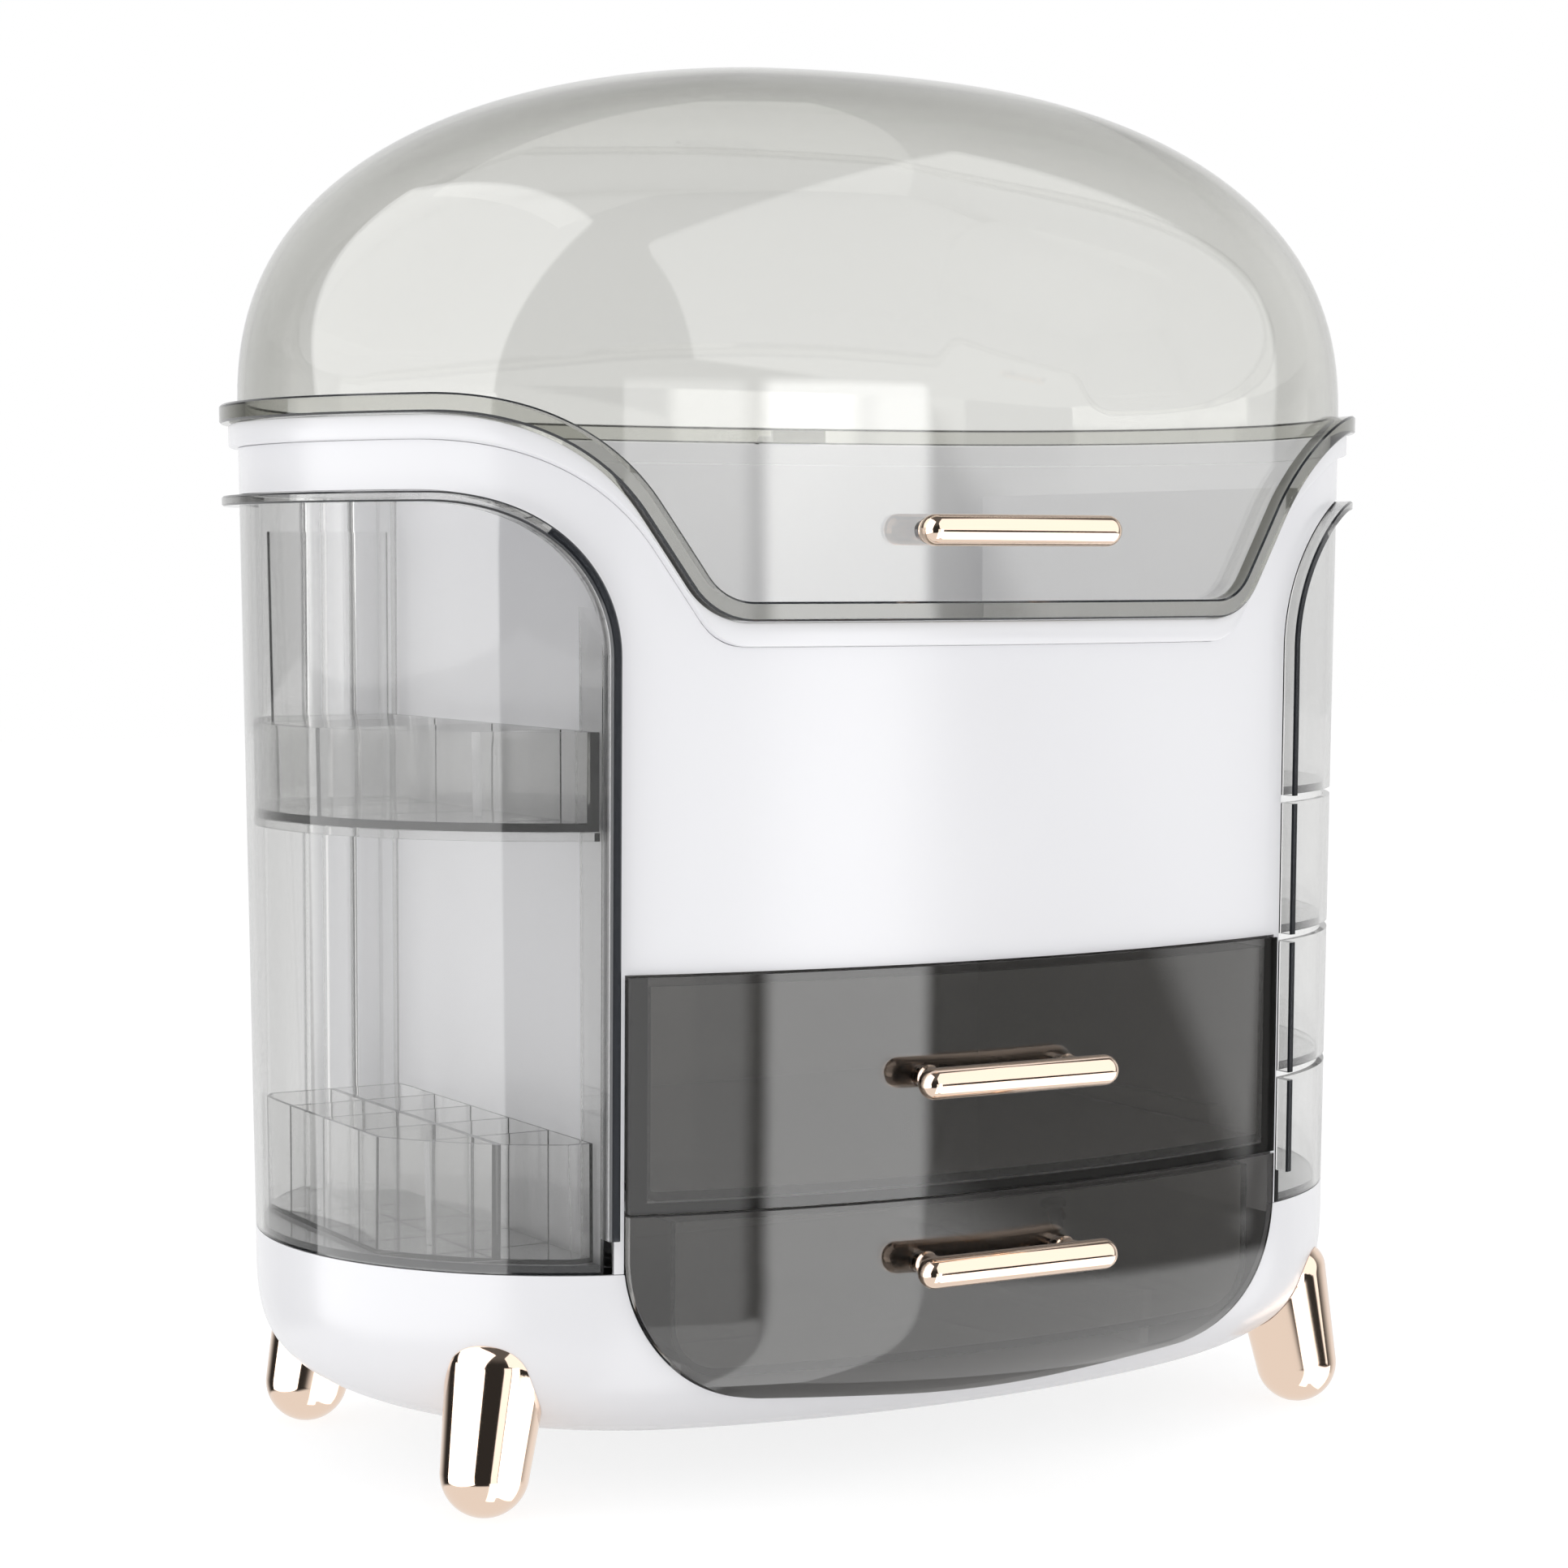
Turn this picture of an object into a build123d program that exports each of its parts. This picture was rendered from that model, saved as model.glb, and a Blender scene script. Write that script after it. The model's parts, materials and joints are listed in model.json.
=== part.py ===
from build123d import *
import os
from math import atan2, cos, degrees, radians, sin, sqrt, tan

# Makeup organizer box, in millimetres.
# X runs to the right, Y to the back and Z up. The floor is Z = 0 and the plan's centre is X = Y = 0.

# Plan: an oval of two end arcs and two side arcs, measured at the top of the bowl
HALF_LENGTH = 165.0
HALF_WIDTH = 100.5
SIDE_SWELL = 10.5           # how much wider the oval is in its middle than its end arcs
DRAFT = 0.775               # degrees that every outer wall leans outwards

# Moulded walls and the gaps between mouldings
WALL = 2.5                  # white mouldings
CLEAR_WALL = 2.0            # clear mouldings
FLOOR_T = 2.2               # floors of drawers and trays
SEAM = 0.2                  # between mouldings that are clipped together
RUNNING = 0.3               # between a moving piece and what it slides on or closes against
SWING_GAP = 0.5             # round the swinging pieces
CUT_CORNER_R = 1.0          # where cutting outlines turn outside the object

# Bowl
BOWL_BOTTOM = 18.0
BOWL_TOP = 64.7
BOWL_POLE = 11.7            # height at which the bowl's round would close
BOWL_POWER = 4.0

# Rim line between the lid and the body: level behind, with a dip in front
RIM_HIGH = 291.4
RIM_DIP = 53.2              # depth of the dip
RIM_SLOPE = 57.0
DIP_HALF = 80.8
RIM_SHOULDER_R = 62.0
RIM_DIP_R = 14.0
LID_FLANGE = 5.0            # its height, and how far it stands out
COLLAR_DROP = 11.8          # lower edge of the raised band below the rim
COLLAR_PROUD = 2.6

# Dome
DOME_HEIGHT = 96.4
DOME_POWER = 2.35
DOME_FLAT = 0.1             # left flat at the very top, in height

# Side bays and what swings in them
BAY_DEPTH = 58.8            # from the end of the oval in to the bay's straight side
ARCH_DROP = 24.9            # top of the swinging pieces below the high rim
INNER_STRIP = 14.0          # inner wall that stays next to a swinging piece's front edge
ARCH_R = 43.0
HEEL_R = 13.0               # round end of each bay about the swing pin
PIVOT_DEPTH = 6.2           # from the outer face to the swing pin, at the bay's floor
PIVOT_BEARING = 51.0        # direction of the pin from the centre of the end arc
ROD_R = 2.0
ROD_PLAY = 0.06
SLEEVE_R = 3.9
FLANGE_T = 2.7
FLANGE_PROUD = 4.8
FLANGE_FOOT = 9.6           # the upright flange stops this far above the bay's floor
FLANGE_STOP_R = 27.0        # the flange ends this far from the swing pin

# Right trays
TRAY_GAP = 2.3
TRAY_PITCH = 39.6
TOP_TRAY_BOTTOM = 182.2
TOP_TRAY_INNER = 40.0

# Left cabinet: tray, back board and lipstick rack
SHELF_Z = 179.4
SHELF_WALL = 25.6
SHELF_DIVIDERS = (-64.0, -22.0, 16.0)
SHELF_DIVIDER_T = 1.6
SHELF_LEDGE = 3.0
LOOSE_FIT = 0.4
BOARD_T = 1.8
BOARD_DROP = 9.5            # top of the board below the top of the swinging pieces
BOARD_INSET = 15.0          # outer edge of the board from the end of the oval
RACK_TOP = 98.5
RACK_WALL = 1.2
RACK_INSET = 12.0           # outer side of the rack from the end of the oval
RACK_FRONT = -78.0
RACK_REAR = 46.0
RACK_CELLS = 5

# Front opening and drawers
OPENING_POST = 2.4          # width of the post between the opening and a bay
OPENING_TOP = 142.5
DECK_TOP = 83.4
DECK_T = 2.5
FACE_GAP = 0.5
FACE_PROUD = 2.15
FACE_T = 2.5
FACE_SPLIT = 0.7            # between the two drawers' faces
UPPER_BOX_DROP = 2.5        # top of the upper drawer's box below its face's top
LOWER_BOX_DROP = 1.9
LOWER_BOX_INSET = 11.8      # side of the lower drawer's box from the opening's side
LOWER_BOX_BOTTOM = 36.6
LOWER_BOX_R = 14.0
LOWER_MOUTH_SIDE = 31.5     # height of the mouth's side corners before they are rounded
LOWER_MOUTH_MIDDLE = 24.3
LOWER_MOUTH_R = 40.0
LOWER_MOUTH_SAG_R = 363.0

# Inside of the body
PARTITION_T = 2.5
WELL_RISE = 2.0             # underside of the well's floor above the front opening
UPPER_RAIL_T = 4.7
LOWER_RAIL_T = 3.0
RAIL_H = 7.0
RAIL_HALF = 62.0            # half of a rail's length

# Handles
HANDLE_STAND = 16.5         # front of the bars from the middle of the oval's long side
HANDLE_R = 4.2
HANDLE_LENGTH = 62.0
POST_R = 3.0
POST_SPACING = 44.0
LID_HANDLE_RISE = 18.5      # above the rim's dip
UPPER_HANDLE_DROP = 29.7    # below the top of the drawer's face
LOWER_HANDLE_DROP = 17.5

# Screws
SCREW_R = 1.5
SCREW_HEAD_R = 2.8
SCREW_HEAD_T = 1.6
SCREW_BITE = 6.0
SCREW_PLAY = 0.05

# Hinges
HINGE_STAND = 16.5          # back of the barrels from the middle of the oval's long side
HINGE_X = 56.0
HINGE_HALF = 9.0
BARREL_R = 3.0
HINGE_PIN_R = 1.3
HINGE_PLAY = 0.05
KNUCKLE_GAP = 0.3
LEAF_T = 1.7
LEAF_DROP = 6.0

# Feet
FOOT_END_INSET = 32.5       # from the end of the oval, where the foot stands
FOOT_SIDE_INSET = 39.1      # from the middle of the oval's long side
FOOT_SPLAY = 11.0
FOOT_TIP_R = 11.8
FOOT_TOP_R = 14.2
FOOT_LENGTH = 35.0          # from the middle of its tip, before the top edge is rounded
FOOT_ROUND = 7.0
FOOT_FLAT = 0.4
FOOT_SCREW_R = 2.0
FOOT_SCREW_HEAD_R = 4.0
FOOT_SCREW_LENGTH = 18.0
FOOT_BOSS_R = 7.0
FOOT_BOSS_TOP = 29.0        # along the foot's axis, from the middle of its tip

# Values worked out from those above
END_R = HALF_WIDTH - SIDE_SWELL
END_CENTRE = HALF_LENGTH - END_R
SIDE_R = (END_CENTRE ** 2 + HALF_WIDTH ** 2 - END_R ** 2) / (2 * (HALF_WIDTH - END_R))
SIDE_CENTRE = SIDE_R - HALF_WIDTH
LEAN = tan(radians(DRAFT))
PIVOT_X = END_CENTRE + (END_R - PIVOT_DEPTH) * cos(radians(PIVOT_BEARING))
PIVOT_Y = (END_R - PIVOT_DEPTH) * sin(radians(PIVOT_BEARING))
BAY_X = HALF_LENGTH - BAY_DEPTH
BAY_FLOOR = BOWL_TOP
ARCH_TOP = RIM_HIGH - ARCH_DROP
BAY_TOP = ARCH_TOP + SWING_GAP
INNER_HALF = BAY_X - PARTITION_T - SEAM
CABINET_NEAR = BAY_X + SWING_GAP + CLEAR_WALL + LOOSE_FIT
SHELF_REAR = PIVOT_Y - HEEL_R - LOOSE_FIT
BOARD_TOP = ARCH_TOP - BOARD_DROP
BOARD_OUTER = HALF_LENGTH - BOARD_INSET
RACK_OUTER = HALF_LENGTH - RACK_INSET
RACK_MIDDLE = (CABINET_NEAR + RACK_OUTER) / 2
OPENING_HALF = BAY_X - OPENING_POST
UPPER_FACE_TOP = OPENING_TOP - FACE_GAP
UPPER_FACE_BOTTOM = DECK_TOP - DECK_T - RUNNING
LOWER_FACE_TOP = UPPER_FACE_BOTTOM - FACE_SPLIT
UPPER_BOX_HALF = INNER_HALF - UPPER_RAIL_T - RUNNING
UPPER_BOX_TOP = UPPER_FACE_TOP - UPPER_BOX_DROP
LOWER_BOX_HALF = OPENING_HALF - LOWER_BOX_INSET
LOWER_BOX_TOP = LOWER_FACE_TOP - LOWER_BOX_DROP
DRAWER_REAR = sqrt(END_R ** 2 - (UPPER_BOX_HALF - END_CENTRE) ** 2) - WALL - LOOSE_FIT
WELL_FLOOR = OPENING_TOP + WELL_RISE + WALL
REACH = 2 * HALF_LENGTH     # further out than any piece
CROWN_SECTIONS = 9
RIM_LOW = RIM_HIGH - RIM_DIP
TOP_Z = RIM_HIGH + DOME_HEIGHT
HANDLE_Y = -(HALF_WIDTH + HANDLE_STAND - HANDLE_R)
LID_HANDLE_Z = RIM_LOW + LID_HANDLE_RISE
UPPER_HANDLE_Z = UPPER_FACE_TOP - UPPER_HANDLE_DROP
LOWER_HANDLE_Z = LOWER_FACE_TOP - LOWER_HANDLE_DROP
HINGE_Y = HALF_WIDTH + HINGE_STAND - BARREL_R
HINGE_Z = RIM_HIGH - LID_FLANGE - RUNNING / 2


def plan(grow=0.0, scale=1.0):
    """Oval face: two end arcs and two side arcs that meet tangentially, grown outwards, then scaled."""
    turn = degrees(atan2(SIDE_CENTRE, END_CENTRE))
    end_r = (END_R + grow) * scale
    side_r = (SIDE_R + grow) * scale
    end_x = END_CENTRE * scale
    side_y = SIDE_CENTRE * scale
    arcs = [
        CenterArc((end_x, 0), end_r, -turn, 2 * turn),
        CenterArc((0, -side_y), side_r, turn, 180 - 2 * turn),
        CenterArc((-end_x, 0), end_r, 180 - turn, 2 * turn),
        CenterArc((0, side_y), side_r, 180 + turn, 180 - 2 * turn),
    ]
    return make_face(arcs)


def grow_at(grow, level):
    """Growth of the oval at a height, with the draft of the walls."""
    return grow + (level - BOWL_TOP) * LEAN


def oval(grow, low, high):
    """Solid of the oval between two heights, with drafted walls."""
    bottom = Pos(0, 0, low) * plan(grow_at(grow, low))
    top = Pos(0, 0, high) * plan(grow_at(grow, high))
    return loft([bottom, top], ruled=True)


def crown(grow, level, pole, power, last):
    """Solid that closes the oval between a level and a pole by a superellipse, up to a last share."""
    sections = []
    for i in range(CROWN_SECTIONS + 1):
        rise = last * sin(radians(90 * i / CROWN_SECTIONS))
        shrink = (1 - rise ** power) ** (1 / power)
        height = level + (pole - level) * rise
        sections.append(Pos(0, 0, height) * plan(grow_at(grow, level), shrink))
    if pole < level:
        sections.reverse()
    return loft(sections)


def block(x0, x1, y0, y1, z0, z1):
    """Box between two corners."""
    size = (abs(x1 - x0), abs(y1 - y0), abs(z1 - z0))
    return Pos((x0 + x1) / 2, (y0 + y1) / 2, (z0 + z1) / 2) * Box(*size)


def rod(x, y, r, low, high):
    """Upright cylinder."""
    return Pos(x, y, (low + high) / 2) * Cylinder(r, high - low)


def rod_y(x, z, r, front, rear):
    """Cylinder along Y."""
    return Pos(x, (front + rear) / 2, z) * Rot(90, 0, 0) * Cylinder(r, rear - front)


def rod_x(y, z, r, left, right):
    """Cylinder along X."""
    return Pos((left + right) / 2, y, z) * Rot(0, 90, 0) * Cylinder(r, right - left)


def front_prism(points, radii, near=0.0):
    """Prism towards the front, from an outline in X and Z whose inner corners are rounded."""
    path = FilletPolyline(points, radius=radii)
    edges = path.edges()
    edges.append(Line(points[-1], points[0]).edge())
    outline = make_face(edges)
    return Pos(0, near, 0) * extrude(Plane.XZ * outline, REACH)


def under_rim(inset=0.0, drop=0.0):
    """All that lies under the rim line, or under a line parallel to it (inset) or lower (drop)."""
    high = RIM_HIGH - inset - drop
    low = RIM_LOW - inset - drop
    low_x = DIP_HALF + inset * tan(radians(RIM_SLOPE / 2))
    high_x = low_x + RIM_DIP / tan(radians(RIM_SLOPE))
    points = [
        (-REACH, 0),
        (-REACH, high),
        (-high_x, high),
        (-low_x, low),
        (low_x, low),
        (high_x, high),
        (REACH, high),
        (REACH, 0),
    ]
    shoulder = RIM_SHOULDER_R - inset
    dip = RIM_DIP_R + inset
    front = front_prism(points, [CUT_CORNER_R, shoulder, dip, dip, shoulder, CUT_CORNER_R])
    return front + block(-REACH, REACH, 0, REACH, 0, high)


def bay(side, grow, low, high):
    """A side bay's space: a straight inner side, and a round heel about the swing pin."""
    hall = block(side * (BAY_X - grow), side * REACH, -REACH, PIVOT_Y + grow, low, high)
    return hall + rod(side * PIVOT_X, PIVOT_Y, HEEL_R + grow, low, high)


def arch(side, inset):
    """Space under a bay's front arch: upright inner edge, quarter round and level top."""
    inner = BAY_X + inset
    top = BAY_TOP - inset
    points = [
        (side * REACH, 0),
        (side * inner, 0),
        (side * inner, top),
        (side * REACH, top),
    ]
    front = front_prism(points, [CUT_CORNER_R, ARCH_R - inset])
    return front + block(0, side * REACH, 0, REACH, 0, top)


def mouth(gap):
    """Lower drawer's mouth: upright sides and round lower corners over a slightly sagging edge."""
    half = OPENING_HALF - gap
    points = [
        (-half, LOWER_FACE_TOP + FACE_GAP + REACH),
        (-half, LOWER_MOUTH_SIDE + gap),
        (0, LOWER_MOUTH_MIDDLE + gap),
        (half, LOWER_MOUTH_SIDE + gap),
        (half, LOWER_FACE_TOP + FACE_GAP + REACH),
    ]
    corner = LOWER_MOUTH_R - gap
    return front_prism(points, [corner, LOWER_MOUTH_SAG_R, corner])


def bowl_body(grow):
    """Outside of the bowl, grown: its round and, above it, the drafted wall."""
    pole = BOWL_POLE - grow
    last = (BOWL_TOP - BOWL_BOTTOM + grow) / (BOWL_TOP - pole)
    return crown(grow, BOWL_TOP, pole, BOWL_POWER, last)


def wall_y(x, grow, level):
    """Distance from the middle to the oval's long side, at a place along it and at a height."""
    return sqrt((SIDE_R + grow_at(grow, level)) ** 2 - x ** 2) - SIDE_CENTRE


def foot_frame(side, front):
    """Place of a foot: its axis passes through the middle of its round tip and leans inwards."""
    x = side * (HALF_LENGTH - FOOT_END_INSET)
    y = front * (HALF_WIDTH - FOOT_SIDE_INSET)
    bearing = degrees(atan2(y, x))
    return Pos(x, y, FOOT_TIP_R - FOOT_FLAT) * Rot(0, 0, bearing) * Rot(0, -FOOT_SPLAY, 0)


def make_foot(side, front):
    """Tapered foot with a round tip, flattened where it stands, cut to the bowl that it carries."""
    cone = Pos(0, 0, FOOT_LENGTH / 2) * Cone(FOOT_TIP_R, FOOT_TOP_R, FOOT_LENGTH)
    cone = fillet(cone.edges().group_by(Axis.Z)[-1], FOOT_ROUND)
    body = foot_frame(side, front) * (cone + Sphere(FOOT_TIP_R))
    body = body & block(-REACH, REACH, -REACH, REACH, 0, BOWL_TOP)
    body = body - bowl_body(SEAM)
    return body - foot_screw(side, front, SCREW_PLAY)


def foot_boss(side, front):
    """Boss inside the bowl on a foot's axis, with a flat end for the screw's head."""
    boss = Pos(0, 0, FOOT_BOSS_TOP / 2) * Cylinder(FOOT_BOSS_R, FOOT_BOSS_TOP)
    return (foot_frame(side, front) * boss) & bowl_body(-WALL / 2)


def foot_screw(side, front, play):
    """Screw along a foot's axis, from the boss inside the bowl down into the foot."""
    head = FOOT_BOSS_TOP + SEAM
    shank = Pos(0, 0, head - FOOT_SCREW_LENGTH / 2) * Cylinder(FOOT_SCREW_R + play, FOOT_SCREW_LENGTH)
    cap = Pos(0, 0, head + SCREW_HEAD_T / 2) * Cylinder(FOOT_SCREW_HEAD_R, SCREW_HEAD_T)
    return foot_frame(side, front) * (shank + cap)


def make_base_bowl():
    """Bowl-shaped base: an open shell with the lower drawer's mouth in front."""
    bowl = bowl_body(0) - bowl_body(-WALL)
    bowl = bowl - (mouth(0) & block(-REACH, REACH, -REACH, 0, 0, BOWL_TOP))
    for side in (-1, 1):
        for front in (-1, 1):
            bowl = bowl + foot_boss(side, front)
            bowl = bowl - foot_screw(side, front, SCREW_PLAY)
    return bowl


def make_body_shell():
    """White shell over the bowl: front panel, back panel and the bands above the side arches."""
    low = BOWL_TOP + SEAM
    shell = oval(0, low, RIM_HIGH) - oval(-WALL, low, RIM_HIGH)
    shell = shell & under_rim(0, COLLAR_DROP)
    for side in (-1, 1):
        shell = shell - (bay(side, 0, 0, BAY_TOP) & arch(side, 0))
    opening = block(-OPENING_HALF, OPENING_HALF, -REACH, 0, 0, OPENING_TOP)
    return shell - opening


def make_rim_collar():
    """Raised band under the lid's rim."""
    base = RIM_LOW - 2 * COLLAR_DROP
    ring = oval(COLLAR_PROUD, base, RIM_HIGH) - oval(-WALL, base, RIM_HIGH)
    ring = ring & under_rim(LID_FLANGE + RUNNING)
    return ring - under_rim(0, COLLAR_DROP - SEAM)


def make_bay_liner(side):
    """Lining of a side bay: its floor, inner wall, round heel and ceiling in one moulding."""
    low = BAY_FLOOR - WALL
    high = BAY_TOP + WALL
    skin = oval(-WALL - SEAM, low, high)
    liner = (bay(side, PARTITION_T, low, high) - bay(side, 0, BAY_FLOOR, BAY_TOP)) & skin
    return liner - rod(side * PIVOT_X, PIVOT_Y, ROD_R, low, high)


def plate(half, low, high):
    """Level plate between the bay linings and inside the shell."""
    skin = oval(-WALL - SEAM, low, high)
    return skin & block(-half, half, -REACH, REACH, low, high)


def make_rails(half, z, foot):
    """Pair of rails on the bay linings or the bowl's floor that keep a drawer straight."""
    rails = []
    for side in (-1, 1):
        rails.append(block(side * half, side * foot, -RAIL_HALF, RAIL_HALF, z, z + RAIL_H))
    return rails


def handle_screw(x, z, wall_front, wall_back, play):
    """Screw along Y from behind a wall into a handle's post."""
    tip = wall_front - SCREW_BITE
    shank = rod_y(x, z, SCREW_R + play, tip, wall_back + SEAM)
    return shank + rod_y(x, z, SCREW_HEAD_R, wall_back + SEAM, wall_back + SEAM + SCREW_HEAD_T)


def make_handle(z, seat):
    """Round bar with two posts that end on the surface behind it."""
    half = HANDLE_LENGTH / 2 - HANDLE_R
    bar = rod_x(HANDLE_Y, z, HANDLE_R, -half, half)
    for side in (-1, 1):
        bar = bar + Pos(side * half, HANDLE_Y, z) * Sphere(HANDLE_R)
    for side in (-1, 1):
        bar = bar + rod_y(side * POST_SPACING / 2, z, POST_R, HANDLE_Y, seat)
    return bar


def fit_handle(z, grow, thickness):
    """A handle, its two screws and the holes for them in a wall whose face has this growth."""
    x = POST_SPACING / 2
    drop = SIDE_R - sqrt(SIDE_R ** 2 - (x + POST_R) ** 2)
    face = -(HALF_WIDTH + grow_at(grow, z)) + drop
    back = face + thickness
    handle = make_handle(z, face + thickness / 2) - oval(grow + SEAM, z - 2 * HANDLE_R, z + 2 * HANDLE_R)
    screws = []
    holes = []
    for side in (-1, 1):
        screws.append(handle_screw(side * x, z, face, back, 0))
        holes.append(handle_screw(side * x, z, face, back, SCREW_PLAY))
    for hole in holes:
        handle = handle - hole
    return handle, screws, holes


def make_upper_drawer():
    """Smoked upper drawer: its curved face stands proud and its box follows the same curve."""
    top = UPPER_FACE_TOP
    face = oval(FACE_PROUD, UPPER_FACE_BOTTOM, top) - oval(FACE_PROUD - FACE_T, UPPER_FACE_BOTTOM, top)
    half = OPENING_HALF - FACE_GAP
    face = face & block(-half, half, -REACH, 0, UPPER_FACE_BOTTOM, top)
    low = DECK_TOP + RUNNING
    box = oval(0, low, UPPER_BOX_TOP) & block(
        -UPPER_BOX_HALF, UPPER_BOX_HALF, -REACH, DRAWER_REAR, low, UPPER_BOX_TOP
    )
    inner = UPPER_BOX_HALF - CLEAR_WALL
    cavity = oval(FACE_PROUD - FACE_T - CLEAR_WALL, low + FLOOR_T, UPPER_BOX_TOP) & block(
        -inner, inner, -REACH, DRAWER_REAR - CLEAR_WALL, low + FLOOR_T, UPPER_BOX_TOP
    )
    return face + (box - cavity)


def lower_section(half, bottom, radius, rear):
    """Lower drawer's box section, with round lower corners, run from the front to its rear."""
    points = [
        (-half, LOWER_BOX_TOP),
        (-half, bottom),
        (half, bottom),
        (half, LOWER_BOX_TOP),
    ]
    return front_prism(points, [radius, radius], rear)


def make_lower_drawer():
    """Smoked lower drawer: its face continues the bowl's round and its box is cut to the same curve."""
    wall = CLEAR_WALL
    back = FACE_PROUD - FACE_T
    window = mouth(FACE_GAP) & block(-REACH, REACH, -REACH, 0, 0, LOWER_FACE_TOP)
    section = lower_section(LOWER_BOX_HALF, LOWER_BOX_BOTTOM, LOWER_BOX_R, DRAWER_REAR)
    inner = lower_section(
        LOWER_BOX_HALF - wall, LOWER_BOX_BOTTOM + FLOOR_T, LOWER_BOX_R - wall, DRAWER_REAR - wall
    )

    def level(body):
        """Face and box within one run of heights, where body(grow) is the shape at that growth."""
        face = (body(FACE_PROUD) - body(back)) & window
        return face + ((body(0) & section) - (body(back - wall) & inner))

    return level(bowl_body) + level(lambda grow: oval(grow, BOWL_TOP, LOWER_FACE_TOP))


def make_lid_dome():
    """Clear lid: dome and skirt of one wall, with a flange that stands out along its lower rim."""
    base = RIM_LOW - 2 * LID_FLANGE
    last = 1 - DOME_FLAT / DOME_HEIGHT
    outside = crown(0, RIM_HIGH, TOP_Z, DOME_POWER, last) + oval(0, base, RIM_HIGH)
    inside = crown(-CLEAR_WALL, RIM_HIGH, TOP_Z - CLEAR_WALL, DOME_POWER, last)
    inside = inside + oval(-CLEAR_WALL, base, RIM_HIGH)
    lid = (outside - inside) - under_rim(LID_FLANGE)
    ring = oval(LID_FLANGE, base, RIM_HIGH) - oval(-CLEAR_WALL / 2, base, RIM_HIGH)
    return lid + (ring & (under_rim() - under_rim(LID_FLANGE)))


def flange_ring(low, high):
    """Band that stands out from the clear side walls."""
    ring = oval(FLANGE_PROUD, low, high) - oval(-CLEAR_WALL / 2, low, high)
    return ring


def swing_body(side, low, high, top_gap=0.0):
    """Outer wall, floor, heel and pin sleeve of a piece that swings out of a bay."""
    solid = oval(0, low, high) & bay(side, -SWING_GAP, low, high)
    hollow = oval(-CLEAR_WALL, low + FLOOR_T, high) & bay(side, -SWING_GAP - CLEAR_WALL, low + FLOOR_T, high)
    body = solid - hollow
    x = side * PIVOT_X
    body = body + rod(x, PIVOT_Y, SLEEVE_R, low, high + top_gap)
    return body - rod(x, PIVOT_Y, ROD_R + ROD_PLAY, low, high + top_gap)


def upright_flange(side, low, high):
    """Flange on the front upright edge of a swinging piece."""
    near = BAY_X + SWING_GAP
    return flange_ring(low, high) & block(
        side * near, side * (near + FLANGE_T), -REACH, 0, low, high
    )


def arch_flange(side, low):
    """Flange along a bay's arch and down its front upright edge, ending before the swing pin."""
    band = (arch(side, SWING_GAP) - arch(side, SWING_GAP + FLANGE_T)) & bay(side, -SWING_GAP, low, BAY_TOP)
    ring = flange_ring(low, BAY_TOP) & band
    return ring - rod(side * PIVOT_X, PIVOT_Y, FLANGE_STOP_R, low, BAY_TOP)


def make_tray(side, low, high, flange_low):
    """One swing tray with a wall all round."""
    tray = swing_body(side, low, high, TRAY_GAP - RUNNING)
    return tray + upright_flange(side, flange_low, high)


def inner_side(side, low):
    """Space of the inner wall of a swinging piece, above a height."""
    front = INNER_STRIP - sqrt(END_R ** 2 - (BAY_X - END_CENTRE) ** 2)
    return block(side * BAY_X, side * (BAY_X + 2 * CLEAR_WALL), front, PIVOT_Y - HEEL_R, low, BAY_TOP)


def make_top_tray(side):
    """Uppermost swing tray: its outer wall rises to the arch."""
    low = TOP_TRAY_BOTTOM
    tray = swing_body(side, low, ARCH_TOP, BAY_TOP - ARCH_TOP - RUNNING) & arch(side, SWING_GAP)
    tray = tray - inner_side(side, low + TOP_TRAY_INNER)
    return tray + arch_flange(side, low)


def make_left_cabinet():
    """Clear swing cabinet: outer wall, floor, heel, and a ledge that carries the tray."""
    low = BAY_FLOOR + RUNNING
    shell = swing_body(-1, low, ARCH_TOP, BAY_TOP - ARCH_TOP - RUNNING) & arch(-1, SWING_GAP)
    shell = shell - inner_side(-1, low + FLOOR_T)
    ledge_top = SHELF_Z - SEAM
    ledge_low = ledge_top - FLOOR_T
    ledge = oval(-CLEAR_WALL / 2, ledge_low, ledge_top) - oval(-CLEAR_WALL - SHELF_LEDGE, ledge_low, ledge_top)
    ledge = ledge & block(-REACH, -CABINET_NEAR, -REACH, SHELF_REAR - HEEL_R, ledge_low, ledge_top)
    return shell + ledge + arch_flange(-1, BAY_FLOOR + FLANGE_FOOT)


def make_cabinet_tray():
    """Loose tray on the cabinet's ledge, with cross dividers."""
    high = SHELF_Z + SHELF_WALL
    gap = CLEAR_WALL + LOOSE_FIT
    near = CABINET_NEAR
    outer = oval(-gap, SHELF_Z, high) & block(-REACH, -near, -REACH, SHELF_REAR, SHELF_Z, high)
    inner_gap = gap + CLEAR_WALL
    hollow = oval(-inner_gap, SHELF_Z + FLOOR_T, high) & block(
        -REACH, -near - CLEAR_WALL, -REACH, SHELF_REAR - CLEAR_WALL, SHELF_Z + FLOOR_T, high
    )
    for y in SHELF_DIVIDERS:
        half = SHELF_DIVIDER_T / 2
        hollow = hollow - block(-REACH, 0, y - half, y + half, SHELF_Z, high)
    return outer - hollow


def make_back_board():
    """Clear board that stands at the rear of the tray."""
    rear = SHELF_REAR - CLEAR_WALL - SEAM
    near = CABINET_NEAR + CLEAR_WALL + LOOSE_FIT
    board = block(-BOARD_OUTER, -near, rear - BOARD_T, rear, SHELF_Z + FLOOR_T + SEAM, BOARD_TOP)
    return board & oval(-2 * CLEAR_WALL - 2 * LOOSE_FIT, SHELF_Z, BOARD_TOP)


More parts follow.
